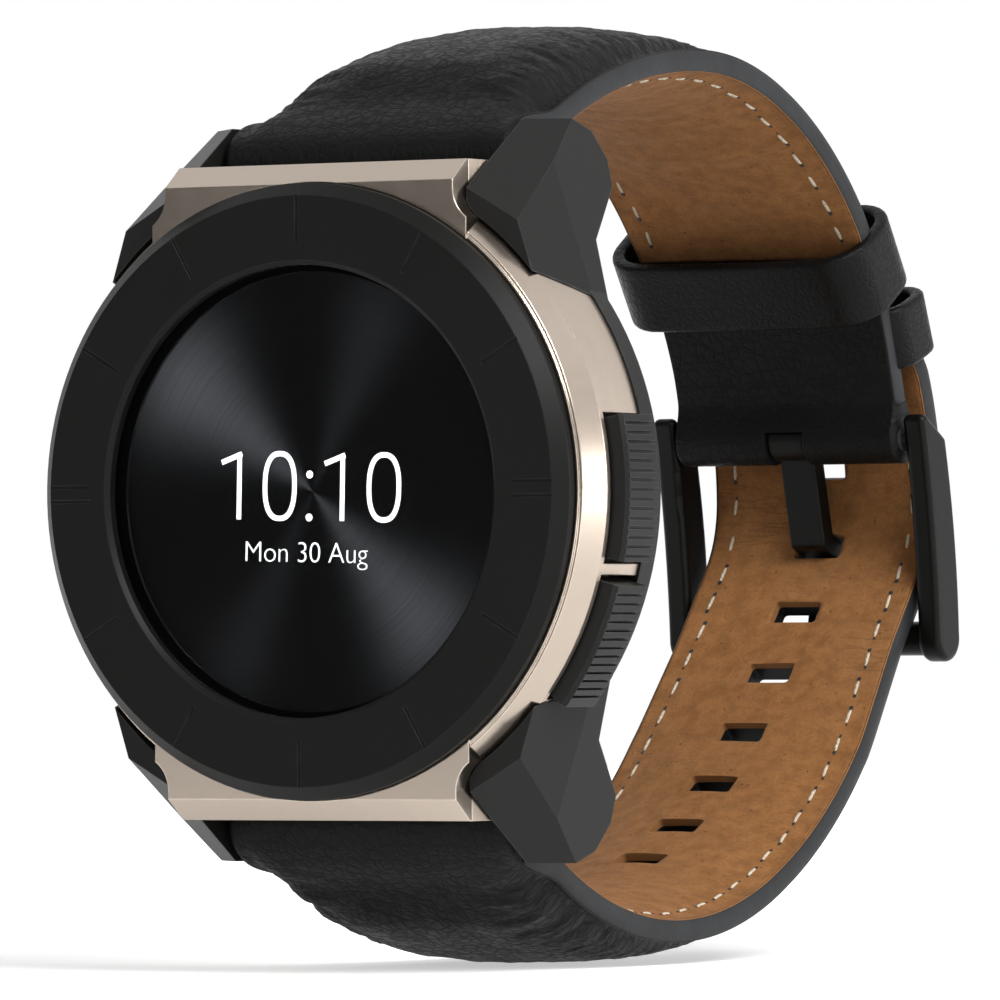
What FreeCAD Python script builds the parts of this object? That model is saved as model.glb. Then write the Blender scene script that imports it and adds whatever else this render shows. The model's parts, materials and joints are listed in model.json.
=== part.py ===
import FreeCAD, Part
import math
import os
import Sketcher
from FreeCAD import Placement, Rotation, Vector

# A leather-strap smartwatch, buckled into its loop.
# Frame: +Z towards 12 o'clock, +X towards 3 o'clock, the dial faces -Y.
# The origin is the centre of the case back's outer face, so y = depth - case_depth,
# where depth is counted backwards from the front of the bezel.

DOC = FreeCAD.newDocument("Smartwatch")
SHEET = DOC.addObject("Spreadsheet::Sheet", "Sizes")

SIZES = [
    # case stack, as depths behind the bezel's front face
    ("case_depth", 13.4), ("plate_front", 12.2), ("rim_depth", 10.4), ("ring_rear", 8.7),
    ("glass_inset", 0.9), ("glass_height", 1.1), ("gasket_height", 0.3), ("panel_height", 1.6),
    # bezel, glass and display
    ("bezel_radius", 21.0), ("bezel_opening", 15.4), ("bezel_chamfer", 0.9), ("opening_chamfer", 0.3),
    ("glass_radius", 16.8), ("view_radius", 15.0), ("panel_radius", 16.2),
    ("mark_start", 16.9), ("mark_length", 3.2), ("mark_width", 0.2), ("mark_sink", 0.12), ("mark_pair", 1.0),
    # upper case
    ("ring_radius", 22.3), ("lip_width", 0.4), ("lip_height", 0.4), ("lip_step", 0.18),
    ("band_depth", 3.6), ("case_bore", 16.9), ("bridge_width", 23.1), ("bridge_reach", 22.4),
    ("bridge_front", 1.5), ("bevel_depth", 1.85), ("bevel_reach", 1.45), ("bridge_rear", 7.4),
    ("bridge_fillet", 2.4),
    # lower case and lugs
    ("rim_radius", 22.5), ("rear_radius", 19.9), ("lug_gap", 0.2), ("lug_front", 3.0),
    ("lug_tip", 25.4), ("lug_root", 11.0), ("lug_foot", 15.6), ("bar_depth", 11.2), ("bar_reach", 22.8),
    ("socket_radius", 3.3), ("lug_thick", 9.0),
    ("crease_out", 3.45), ("crease_back", 5.7), ("crease_drop", 3.1),
    ("toe_back", 7.4), ("heel_out", 0.25), ("heel_drop", 5.1), ("shoulder_out", 4.15),
    ("shoulder_drop", 7.65), ("hip_out", 6.5), ("hip_back", 5.9), ("hip_drop", 12.65),
    ("brow_out", 2.6), ("brow_back", 8.2), ("brow_drop", 0.1),
    # case back and its pieces
    ("back_radius", 19.1), ("seal_radius", 17.15), ("seal_width", 0.6), ("seal_height", 0.5),
    ("screw_circle", 18.4), ("screw_radius", 0.4), ("screw_head", 0.6), ("head_height", 0.5),
    ("screw_length", 6.6), ("window_radius", 6.5), ("contact_radius", 0.9), ("contact_pitch", 2.5),
    ("contact_drop", 10.6), ("contact_height", 1.7),
    # inside
    ("chassis_front", 3.95), ("chassis_rear", 11.3), ("web_front", 8.0), ("web_height", 0.4),
    ("chamber_radius", 15.5), ("board_radius", 15.3), ("board_height", 0.8), ("chip_height", 1.1),
    ("battery_radius", 10.3), ("battery_shift", 3.8), ("battery_height", 2.75),
    ("motor_radius", 3.9), ("motor_shift", 11.2), ("motor_height", 2.6),
    ("sensor_radius", 7.4), ("sensor_front", 11.45), ("sensor_height", 0.5),
    # pushers
    ("button_depth", 4.25), ("button_rear", 8.2), ("button_outer", 23.6), ("button_inner", 21.2),
    ("window_floor", 20.2), ("window_front", 4.05), ("upper_angle", 0.0), ("upper_half", 12.2),
    ("lower_angle", 27.4), ("lower_half", 11.2), ("window_play", 1.0), ("button_travel", 0.7),
    ("groove_width", 0.22), ("groove_sink", 0.28), ("groove_step", 1.56), ("button_bevel", 0.25),
    ("stem_radius", 0.75), ("stem_end", 15.75), ("switch_length", 2.2), ("switch_width", 3.6),
    ("switch_height", 1.9), ("clip_radius", 1.25), ("clip_height", 0.3),
    ("spring_radius", 1.05), ("spring_width", 0.26), ("spring_leaf", 0.12), ("spring_rings", 5),
    # strap
    ("loop_shift", 38.3), ("loop_radius", 29.8), ("arch_radius", 50.0), ("sag_shift", 33.7),
    ("long_radius", 36.5), ("leave_angle", 51.7), ("run_length", 13.95), ("bulge_radius", 8.0),
    ("tail_radius", 22.2), ("leather", 1.6), ("lining", 0.6), ("skin", 1.0),
    ("lug_width", 22.4), ("hinge_width", 19.6), ("buckle_width", 18.2), ("taper_start", 5.0),
    ("taper_wait", 1.0), ("taper_end", 66.0),
    ("crown_depth", 24.0), ("crown_reach", 32.2), ("padding_end", 46.0), ("eye_radius", 2.5),
    ("flex_gap", 0.5), ("flex_lift", 0.9), ("fold_start", 17.5), ("buckle_reach", 4.4),
    ("buckle_radius", 30.45),
    ("fold_radius", 1.75), ("tip_reach", 17.0), ("hole_width", 3.8), ("hole_length", 1.9),
    ("hole_pitch", 6.0), ("tang_hole", -3.7),
    # spring bars, buckle and keepers
    ("bar_radius", 0.9), ("tube_bore", 0.7), ("tube_wall", 0.35), ("pin_radius", 0.45),
    ("flange_radius", 0.64), ("flange_height", 0.7), ("pin_grip", 0.95), ("pin_travel", 0.9),
    ("fit", 0.05), ("arm_gap", 0.5), ("arm_width", 1.9), ("arm_lead", 1.4), ("arm_trail", 2.35),
    ("arm_rise", 2.3), ("arm_drop", 0.1), ("arm_bow", 0.4), ("arm_round", 0.5), ("foot_radius", 1.7),
    ("cross_radius", 1.25), ("cross_reach", -9.1), ("cross_gap", 0.5),
    ("tang_width", 2.8), ("tang_height", 1.4), ("tang_clear", 0.35), ("tang_rest", 0.12),
    ("tang_set", 0.7), ("eye_wall", 0.5), ("slot_play", 0.2), ("slot_rise", 0.6),
    ("keeper_wall", 1.0), ("keeper_length", 5.0), ("keeper_reach", 16.9), ("keeper_play", 0.5),
    ("keeper_slack", 0.6), ("keeper_gap", 0.15), ("sewn_reach", 12.5), ("sewn_length", 4.6),
]


class Length:
    """A size that keeps its value and the expression that it came from."""

    def __init__(self, value, text):
        self.value = value
        self.text = text

    def join(self, other, sign, value):
        text = other.text if isinstance(other, Length) else repr(other)
        return Length(value, "(" + self.text + sign + text + ")")

    def __add__(self, other):
        return self.join(other, " + ", self.value + number(other))

    def __sub__(self, other):
        return self.join(other, " - ", self.value - number(other))

    def __mul__(self, other):
        return self.join(other, " * ", self.value * number(other))

    def __truediv__(self, other):
        return self.join(other, " / ", self.value / number(other))

    def __neg__(self):
        return Length(-self.value, "(-1 * " + self.text + ")")


class Namespace:
    """The sheet's sizes as attributes."""


def number(size):
    return size.value if isinstance(size, Length) else size


def fill_sheet():
    """Write each size as a named plain number and hand back the sizes."""
    sizes = Namespace()
    for row, (word, value) in enumerate(SIZES, start=1):
        SHEET.set("A%d" % row, word)
        SHEET.set("B%d" % row, str(value))
        SHEET.setAlias("B%d" % row, word)
        setattr(sizes, word, Length(value, "Sizes." + word))
    DOC.recompute()
    return sizes


S = fill_sheet()
ALONG_Y = Rotation(Vector(1, 0, 0), -90)
ALONG_X = Rotation(Vector(0, 1, 0), 90)
PARTS = []


def behind(depth):
    """The y of a depth behind the bezel's front face."""
    return depth - S.case_depth


def front_face():
    """The y of the bezel's front face."""
    return -S.case_depth


def bind(item, prop, size):
    if isinstance(size, Length):
        item.setExpression(prop, size.text)
    else:
        setattr(item, prop, size)


def place(item, x=0.0, y=0.0, z=0.0, turn=None):
    """Put an object at a point whose coordinates stay tied to the sheet."""
    rotation = turn if turn else Rotation()
    item.Placement = Placement(Vector(number(x), number(y), number(z)), rotation)
    for axis, size in (("x", x), ("y", y), ("z", z)):
        if isinstance(size, Length):
            item.setExpression("Placement.Base." + axis, size.text)
    return item


def cylinder(name, radius, height, x=0.0, y=0.0, z=0.0, turn=ALONG_Y):
    item = DOC.addObject("Part::Cylinder", name)
    bind(item, "Radius", radius)
    bind(item, "Height", height)
    return place(item, x, y, z, turn)


def box(name, length, width, height, x=0.0, y=0.0, z=0.0, turn=None):
    item = DOC.addObject("Part::Box", name)
    bind(item, "Length", length)
    bind(item, "Width", width)
    bind(item, "Height", height)
    return place(item, x, y, z, turn)


def cut(name, base, *tools):
    tool = tools[0] if len(tools) == 1 else fuse(name + "_tools", *tools)
    item = DOC.addObject("Part::Cut", name)
    item.Base = base
    item.Tool = tool
    return item


def fuse(name, *items):
    item = DOC.addObject("Part::MultiFuse", name)
    item.Shapes = list(items)
    return item


def shaped(name, shape):
    """An object for a shape that neither sketches nor primitives fit."""
    item = DOC.addObject("Part::Feature", name)
    item.Shape = shape
    return item


def part(label, item):
    """Register a finished sub-part under the name of its file."""
    item.Label = label
    PARTS.append(item)
    return item


def origin_plane(body, role):
    return next(face for face in body.Origin.OriginFeatures if face.Role == role)


def revolved(label, corners):
    """A body turned about Y from a closed outline of (radius, y) corners."""
    body = DOC.addObject("PartDesign::Body", label)
    sketch = body.newObject("Sketcher::SketchObject", label + "_outline")
    sketch.AttachmentSupport = (origin_plane(body, "XY_Plane"), [""])
    sketch.MapMode = "FlatFace"
    points = [Vector(number(radius), number(y), 0) for radius, y in corners]
    for index, point in enumerate(points):
        sketch.addGeometry(Part.LineSegment(point, points[(index + 1) % len(points)]), False)
    for index, (radius, y) in enumerate(corners):
        following = (index + 1) % len(corners)
        sketch.addConstraint(Sketcher.Constraint("Coincident", index, 2, following, 1))
        for kind, size in (("DistanceX", radius), ("DistanceY", y)):
            mark = sketch.addConstraint(Sketcher.Constraint(kind, -1, 1, index, 1, number(size)))
            if isinstance(size, Length):
                sketch.setExpression("Constraints[%d]" % mark, size.text)
    turned = body.newObject("PartDesign::Revolution", label + "_turn")
    turned.Profile = sketch
    turned.ReferenceAxis = (sketch, ["V_Axis"])
    turned.Angle = 360
    sketch.Visibility = False
    DOC.recompute()
    return body


def sector(name, radius, inner, height, y, middle, half):
    """A ring sector round Y, centred `middle` degrees below +X, `half` degrees each way."""
    turn = Rotation(Vector(0, 1, 0), number(middle) - number(half)) * ALONG_Y
    pieces = []
    for suffix, size in (("_outer", radius), ("_inner", inner)):
        item = cylinder(name + suffix, size, height, y=y, turn=turn)
        bind(item, "Angle", half * 2)
        pieces.append(item)
    return cut(name, pieces[0], pieces[1])


# ---------------------------------------------------------------- display and bezel

def make_bezel():
    front = front_face()
    seat = behind(S.glass_inset)
    rear = behind(S.glass_inset + S.glass_height)
    body = revolved("bezel_ring_blank", [
        (S.bezel_opening + S.opening_chamfer, front),
        (S.bezel_radius - S.bezel_chamfer, front),
        (S.bezel_radius, front + S.bezel_chamfer),
        (S.bezel_radius, rear),
        (S.glass_radius + S.fit, rear),
        (S.glass_radius + S.fit, seat),
        (S.bezel_opening, seat),
        (S.bezel_opening, front + S.opening_chamfer)])
    marks = []
    for hour in range(12):
        sides = (-0.5, 0.5) if hour % 6 == 3 else (0.0,)
        for side in sides:
            marks.append(hour_mark(hour, side, front))
    part("bezel_ring", cut("bezel_ring", body, *marks))


def hour_mark(hour, side, front):
    """One engraved line; 3 and 9 o'clock carry a pair of them."""
    item = DOC.addObject("Part::Box", "mark_%d_%d" % (hour, int(side * 2)))
    bind(item, "Length", S.mark_width)
    bind(item, "Width", S.mark_sink * 2)
    bind(item, "Height", S.mark_length)
    shift = number(S.mark_pair) * side - number(S.mark_width) / 2
    turn = Rotation(Vector(0, 1, 0), hour * 30)
    start = turn.multVec(Vector(shift, number(front - S.mark_sink), number(S.mark_start)))
    item.Placement = Placement(start, turn)
    return item


def make_display():
    seat = behind(S.glass_inset)
    stack = behind(S.glass_inset + S.glass_height)
    part("cover_glass", cylinder("cover_glass", S.glass_radius, S.glass_height, y=seat))
    ring = cylinder("glass_gasket_disc", S.case_bore - S.fit, S.gasket_height, y=stack)
    hole = cylinder("glass_gasket_hole", S.view_radius, S.gasket_height, y=stack)
    part("glass_gasket", cut("glass_gasket", ring, hole))
    panel = stack + S.gasket_height
    part("display_panel", cylinder("display_panel", S.panel_radius, S.panel_height, y=panel))


# ---------------------------------------------------------------- case

def prism(points, low, high):
    """A closed (x, z) outline extruded from y = low to y = high."""
    corners = [Vector(x, low, z) for x, z in points]
    wire = Part.makePolygon(corners + corners[:1])
    return Part.Face(wire).extrude(Vector(0, high - low, 0))


def side_prism(points, low, high):
    """A closed (depth, z) outline extruded from x = low to x = high."""
    back = number(S.case_depth)
    corners = [Vector(low, depth - back, z) for depth, z in points]
    wire = Part.makePolygon(corners + corners[:1])
    return Part.Face(wire).extrude(Vector(high - low, 0, 0))


def turned_disc(radius, low, high):
    return Part.makeCylinder(radius, high - low, Vector(0, low, 0), Vector(0, 1, 0))


def bridge_solid(gap):
    """The flat block between the lugs, with the hollow corners that run into the round case."""
    half = number(S.bridge_width) / 2 + gap
    reach = number(S.bridge_reach)
    round_radius = number(S.ring_radius) + gap
    fillet = number(S.bridge_fillet)
    low = number(behind(S.bridge_front))
    high = number(behind(S.ring_rear))
    middle_x = half + fillet
    middle_z = math.sqrt((round_radius + fillet) ** 2 - middle_x ** 2)
    touch = round_radius / (round_radius + fillet)
    corner_x = middle_x * touch
    corner_z = middle_z * touch
    corner = prism([(half, corner_z), (corner_x, corner_z), (middle_x, middle_z), (half, middle_z)], low, high)
    corner = corner.cut(Part.makeCylinder(fillet, high - low, Vector(middle_x, low, middle_z), Vector(0, 1, 0)))
    blank = prism([(-half, 0), (half, 0), (half, reach), (-half, reach)], low, high)
    foot = prism([(-corner_x, 0), (corner_x, 0), (corner_x, corner_z), (-corner_x, corner_z)], low, high)
    mirrored = corner.mirror(Vector(), Vector(1, 0, 0))
    end = blank.fuse([foot, corner, mirrored])
    end = end.cut(bridge_bevel())
    return end.fuse(end.mirror(Vector(), Vector(0, 0, 1))).removeSplitter()


def bridge_bevel():
    """The wedge that slants the 12 o'clock end's front edge."""
    reach = number(S.bridge_reach)
    front = number(S.bridge_front)
    depth = number(S.bevel_depth)
    run = number(S.bevel_reach)
    wide = number(S.bridge_width)
    return side_prism([(0, reach - run * (1 + front / depth)), (front + depth, reach),
                       (front + depth, reach * 2), (0, reach * 2)], -wide, wide)


def socket_shape():
    """The round recesses in the case's ends that the strap ends turn in."""
    length = number(S.bridge_width + S.lug_gap * 2)
    y = number(behind(S.bar_depth))
    bars = []
    for side in (1, -1):
        centre = Vector(-length / 2, y, side * number(S.bar_reach))
        bars.append(Part.makeCylinder(number(S.socket_radius), length, centre, Vector(1, 0, 0)))
    return bars[0].fuse(bars[1])


def make_case_ring():
    seat = behind(S.glass_inset + S.glass_height)
    lip = S.bezel_radius + S.fit
    turned = revolved("case_ring_turned", [
        (S.case_bore, seat),
        (lip, seat),
        (lip, seat - S.lip_height),
        (lip + S.lip_width * 0.5, seat - S.lip_height),
        (lip + S.lip_width * 0.5, seat - S.lip_height + S.lip_step),
        (lip + S.lip_width, seat - S.lip_height + S.lip_step),
        (S.ring_radius, behind(S.band_depth)),
        (S.ring_radius, behind(S.ring_rear)),
        (S.case_bore, behind(S.ring_rear))])
    bridge = shaped("case_ring_bridge", bridge_solid(0.0))
    recess = cylinder("case_ring_recess", lip, S.glass_inset + S.glass_height, y=front_face())
    bore = cylinder("case_ring_bore", S.case_bore, S.case_depth, y=front_face())
    whole = fuse("case_ring_whole", turned, cut("case_ring_ends", bridge, recess, bore))
    bevel = bridge_bevel()
    tools = [shaped("case_ring_sockets", socket_shape()), shaped("case_ring_bevel_upper", bevel),
             shaped("case_ring_bevel_lower", bevel.mirror(Vector(), Vector(0, 0, 1)))]
    tools += screw_holes("case_ring", S.ring_rear, S.plate_front + S.head_height - S.screw_length)
    for name, middle, half in button_list():
        tools.append(sector(name + "_window", S.ring_radius * 2, S.window_floor,
                            S.ring_rear - S.window_front, behind(S.window_front), middle,
                            half + S.window_play))
        tools.append(button_bore(name, middle))
    part("case_ring", cut("case_ring", whole, *tools))


def screw_holes(name, rear, front):
    """Clearance holes for the four long case screws between two depths."""
    spots = screw_spots()
    holes = []
    for index, (x, z) in enumerate(spots):
        holes.append(cylinder("%s_screw_hole_%d" % (name, index), S.screw_radius, rear - front,
                              x=x, y=behind(front), z=z))
    return holes


def screw_spots():
    reach = S.screw_circle * math.sqrt(0.5)
    return [(reach * a, reach * b) for a in (1, -1) for b in (1, -1)]


def half_space(point, normal):
    """A large block on the side of a plane that its normal points to."""
    size = 80.0
    block = Part.makeBox(size, size, size)
    turn = Rotation(Vector(0, 0, 1), normal)
    block.Placement = Placement(point + turn.multVec(Vector(-size / 2, -size / 2, 0)), turn)
    return block


# The lug's rounded foot, as steps behind its rear and down from its tip.
LUG_FOOT = [(-3.0, 0.0), (-1.0, 0.8), (0.0, 2.7), (-0.3, 4.6), (-2.6, 6.8), (-4.3, 8.4)]


def lug_spot(out, back, drop):
    """A corner of the lug's facets, measured from the inner edge of its tip."""
    spot_x = S.bridge_width / 2 + S.lug_gap + out
    return Vector(number(spot_x), number(behind(S.lug_front + back)), number(S.lug_tip - drop))


def lug_solid():
    """The lug at 1 o'clock: a foot cut by its front, middle and side facets."""
    inner = number(S.bridge_width) / 2 + number(S.lug_gap)
    front = number(S.lug_front)
    tip = number(S.lug_tip)
    root = number(S.lug_root)
    foot = number(S.lug_foot)
    rim = number(S.rim_depth)
    foot_line = [(foot + back, tip - drop) for back, drop in LUG_FOOT]
    lug = side_prism([(front, root), (front, tip)] + foot_line + [(rim, root)],
                     inner, inner + number(S.lug_thick))
    crease = lug_spot(S.crease_out, S.crease_back, S.crease_drop)
    toe = lug_spot(0, S.toe_back, 0)
    heel = lug_spot(S.heel_out, 0, S.heel_drop)
    face = (toe - heel).cross(crease - heel)
    lug = lug.cut(half_space(heel, face if face.y < 0 else -face))
    shoulder = lug_spot(S.shoulder_out, 0, S.shoulder_drop)
    hip = lug_spot(S.hip_out, S.hip_back, S.hip_drop)
    middle = (hip - shoulder).cross(crease - shoulder)
    lug = lug.cut(half_space(shoulder, middle if middle.x > 0 else -middle))
    brow = lug_spot(S.brow_out, S.brow_back, S.brow_drop)
    side = (hip - crease).cross(brow - crease)
    return lug.cut(half_space(crease, side if side.x > 0 else -side))


def make_lug_frame():
    turned = revolved("lug_frame_turned", [
        (S.case_bore, behind(S.ring_rear)),
        (S.rim_radius, behind(S.ring_rear)),
        (S.rim_radius, behind(S.rim_depth)),
        (S.rear_radius, behind(S.plate_front)),
        (S.case_bore, behind(S.plate_front))])
    lug = lug_solid()
    low = number(front_face())
    ring = turned_disc(number(S.ring_radius + S.fit), low, number(behind(S.ring_rear)))
    lug = lug.cut(ring.fuse(bridge_solid(number(S.fit))))
    bore = turned_disc(number(S.case_bore), low, 10.0)
    lug = lug.cut(bore)
    other = lug.mirror(Vector(), Vector(1, 0, 0))
    lugs = []
    for shape in (lug, other):
        lugs += [shape, shape.mirror(Vector(), Vector(0, 0, 1))]
    pieces = [shaped("lug_%d" % index, shape) for index, shape in enumerate(lugs)]
    whole = fuse("lug_frame_whole", turned, *pieces)
    tools = [shaped("lug_frame_sockets", socket_shape())]
    tools += screw_holes("lug_frame", S.plate_front, S.ring_rear)
    for name, middle, half in button_list():
        tools.append(sector(name + "_lug_window", S.button_outer + 2.0, S.ring_radius * 0.95,
                            S.ring_rear - S.window_front, behind(S.window_front), middle,
                            half + S.window_play))
    for side in (1, -1):
        depth = S.bridge_width + S.lug_gap * 2 + (S.pin_grip + S.fit) * 2
        tools.append(cylinder("lug_frame_pin_%d" % side, S.pin_radius + S.fit, depth,
                              x=-depth / 2, y=behind(S.bar_depth), z=S.bar_reach * side, turn=ALONG_X))
    part("lug_frame", cut("lug_frame", whole, *tools))


def make_case_back():
    plate = cylinder("case_back_plate", S.back_radius, S.case_depth - S.plate_front, y=behind(S.plate_front))
    groove = cylinder("case_back_groove", S.seal_radius + S.seal_width, S.seal_height, y=behind(S.plate_front))
    core = cylinder("case_back_core", S.seal_radius, S.seal_height, y=behind(S.plate_front))
    window = cylinder("case_back_window", S.window_radius, S.case_depth - S.plate_front,
                      y=behind(S.plate_front))
    tools = [cut("case_back_seal_cut", groove, core), window]
    for index, (x, z) in enumerate(screw_spots()):
        tools.append(cylinder("back_shank_%d" % index, S.screw_radius, S.case_depth - S.plate_front,
                              x=x, y=behind(S.plate_front), z=z))
        tools.append(cylinder("back_head_%d" % index, S.screw_head, S.head_height,
                              x=x, y=-S.head_height, z=z))
    for index, x in enumerate(contact_row()):
        tools.append(cylinder("back_contact_%d" % index, S.contact_radius, S.case_depth - S.plate_front,
                              x=x, y=behind(S.plate_front), z=-S.contact_drop))
    part("case_back", cut("case_back", plate, *tools))
    ring = cylinder("case_seal_disc", S.seal_radius + S.seal_width, S.seal_height, y=behind(S.plate_front))
    hole = cylinder("case_seal_hole", S.seal_radius, S.seal_height, y=behind(S.plate_front))
    part("case_back_seal", cut("case_back_seal", ring, hole))
    part("sensor_window", cylinder("sensor_window", S.window_radius, S.case_depth - S.plate_front,
                                   y=behind(S.plate_front)))
    part("sensor_board", cylinder("sensor_board", S.sensor_radius, S.sensor_height,
                                  y=behind(S.sensor_front)))
    pins = [cylinder("contact_%d" % index, S.contact_radius, S.contact_height,
                     x=x, y=-S.contact_height, z=-S.contact_drop)
            for index, x in enumerate(contact_row())]
    part("charging_contacts", fuse("charging_contacts", *pins))
    make_case_screws()


def contact_row():
    return [S.contact_pitch * step for step in (-1.5, -0.5, 0.5, 1.5)]


def make_case_screws():
    """Four long screws that clamp the back, the lug frame and the upper case."""
    screws = []
    for index, (x, z) in enumerate(screw_spots()):
        shank = cylinder("case_screw_shank_%d" % index, S.screw_radius, S.screw_length,
                         x=x, y=-S.screw_length, z=z)
        head = cylinder("case_screw_head_%d" % index, S.screw_head, S.head_height,
                        x=x, y=-S.head_height, z=z)
        slot = box("case_screw_slot_%d" % index, S.screw_head * 2, S.head_height * 0.4,
                   S.screw_radius * 0.5, x=x - S.screw_head, y=-(S.head_height * 0.4),
                   z=z - S.screw_radius * 0.25)
        screws.append(cut("case_screw_%d" % index, fuse("case_screw_blank_%d" % index, shank, head), slot))
    part("case_screws", fuse("case_screws", *screws))


# ---------------------------------------------------------------- inside

def make_inside():
    blank = cylinder("chassis_blank", S.case_bore - S.fit, S.chassis_rear - S.chassis_front,
                     y=behind(S.chassis_front))
    front = cylinder("chassis_front_room", S.chamber_radius, S.web_front - S.chassis_front,
                     y=behind(S.chassis_front))
    rear_start = S.web_front + S.web_height
    rear = cylinder("chassis_rear_room", S.chamber_radius, S.chassis_rear - rear_start, y=behind(rear_start))
    tools = [front, rear]
    for name, middle, half in button_list():
        size = S.clip_radius * 2 + 0.8
        turn = Rotation(Vector(0, 1, 0), number(middle))
        tools.append(turned_box(name + "_chassis_gap", S.case_bore * 0.5, S.web_front - S.chassis_front,
                                size, S.case_bore * 0.6, behind(S.chassis_front), turn))
    part("inner_chassis", cut("inner_chassis", blank, *tools))
    part("main_board", cylinder("main_board", S.board_radius, S.board_height,
                                y=behind(S.web_front - S.board_height)))
    chips = []
    for index, (x, z, length, height) in enumerate(((-8.0, 2.0, 7.0, 7.0), (2.0, 4.5, 5.0, 6.5),
                                                    (-6.5, -8.5, 4.5, 4.0), (1.5, -6.0, 4.0, 6.0))):
        chips.append(box("chip_%d" % index, length, S.chip_height, height, x=x,
                         y=behind(S.web_front - S.board_height - S.chip_height), z=z))
    part("board_chips", fuse("board_chips", *chips))
    part("battery", cylinder("battery", S.battery_radius, S.battery_height, x=S.battery_shift,
                             y=behind(rear_start)))
    part("vibration_motor", cylinder("vibration_motor", S.motor_radius, S.motor_height,
                                     x=-S.motor_shift, y=behind(rear_start)))


def turned_box(name, length, width, height, start, y, turn):
    """A box that runs outwards from `start` along a direction turned about Y."""
    item = DOC.addObject("Part::Box", name)
    bind(item, "Length", length)
    bind(item, "Width", width)
    bind(item, "Height", height)
    corner = turn.multVec(Vector(number(start), number(y), -number(height) / 2))
    item.Placement = Placement(corner, turn)
    return item


# ---------------------------------------------------------------- pushers

def button_list():
    return [("upper", S.upper_angle, S.upper_half), ("lower", S.lower_angle, S.lower_half)]


def button_axis():
    """The y of the pushers' stems, halfway along their caps."""
    return behind((S.button_depth + S.button_rear) / 2)


def radial(name, radius, start, end, middle):
    """A rod along the pusher's own radius, from one distance to another."""
    turn = Rotation(Vector(0, 1, 0), number(middle))
    item = DOC.addObject("Part::Cylinder", name)
    bind(item, "Radius", radius)
    bind(item, "Height", end - start)
    base = turn.multVec(Vector(number(start), number(button_axis()), 0))
    item.Placement = Placement(base, turn * ALONG_X)
    return item


def button_bore(name, middle):
    """The stem's hole, with a counterbore for its seal and spring."""
    hole = radial(name + "_stem_hole", S.stem_radius + S.fit, S.case_bore - 2.0, S.window_floor + 1.0, middle)
    seat = radial(name + "_seal_seat", S.spring_radius + 0.25, S.window_floor - 0.9, S.window_floor + 1.0, middle)
    return fuse(name + "_bore", hole, seat)


def make_button(name, middle, half):
    width = S.button_rear - S.button_depth
    cap = sector(name + "_cap_blank", S.button_outer, S.button_inner, width, behind(S.button_depth), middle, half)
    grooves = []
    count = int(round(2 * number(half) / number(S.groove_step)))
    for index in range(1, count):
        angle = number(middle) - number(half) + index * number(S.groove_step)
        turn = Rotation(Vector(0, 1, 0), angle)
        grooves.append(turned_box("%s_groove_%d" % (name, index), S.groove_sink * 2, width, S.groove_width,
                                  S.button_outer - S.groove_sink, behind(S.button_depth + S.button_bevel), turn))
    cone = cap_bevel(name, middle)
    part("pusher_cap_" + name, cut(name + "_cap", cap, cone, *grooves))
    part("pusher_stem_" + name, radial(name + "_stem", S.stem_radius, S.stem_end, S.button_inner, middle))
    make_clip(name, middle)
    make_seal(name, middle)
    make_switch(name, middle)
    make_spring(name, middle)


def cap_bevel(name, middle):
    """The ring that bevels the cap's outer front edge."""
    outer = cylinder(name + "_bevel_outer", S.button_outer + 1.0, S.button_bevel, y=behind(S.button_depth))
    cone = DOC.addObject("Part::Cone", name + "_bevel_cone")
    bind(cone, "Radius1", S.button_outer - S.button_bevel)
    bind(cone, "Radius2", S.button_outer)
    bind(cone, "Height", S.button_bevel)
    place(cone, y=behind(S.button_depth), turn=ALONG_Y)
    return cut(name + "_bevel", outer, cone)


def make_clip(name, middle):
    """The clip on the stem's inner end, which keeps the pusher in the case."""
    inner = S.case_bore - S.clip_height - 0.05
    disc = radial(name + "_clip_disc", S.clip_radius, inner, inner + S.clip_height, middle)
    hole = radial(name + "_clip_hole", S.stem_radius, inner, inner + S.clip_height, middle)
    part("pusher_clip_" + name, cut(name + "_clip", disc, hole))


def make_seal(name, middle):
    start = S.window_floor - 0.9
    disc = radial(name + "_seal_disc", S.spring_radius + 0.25, start, start + 0.45, middle)
    hole = radial(name + "_seal_hole", S.stem_radius + S.fit * 0.5, start, start + 0.45, middle)
    part("pusher_seal_" + name, cut(name + "_seal", disc, hole))


def make_switch(name, middle):
    """The click switch on the board's edge, one gap short of the stem."""
    turn = Rotation(Vector(0, 1, 0), number(middle))
    end = S.stem_end - S.button_travel - 0.1
    front = behind(S.web_front - S.board_height - S.switch_height)
    part("click_switch_" + name, turned_box(name + "_switch", S.switch_length, S.switch_height,
                                            S.switch_width, end - S.switch_length, front, turn))


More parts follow.
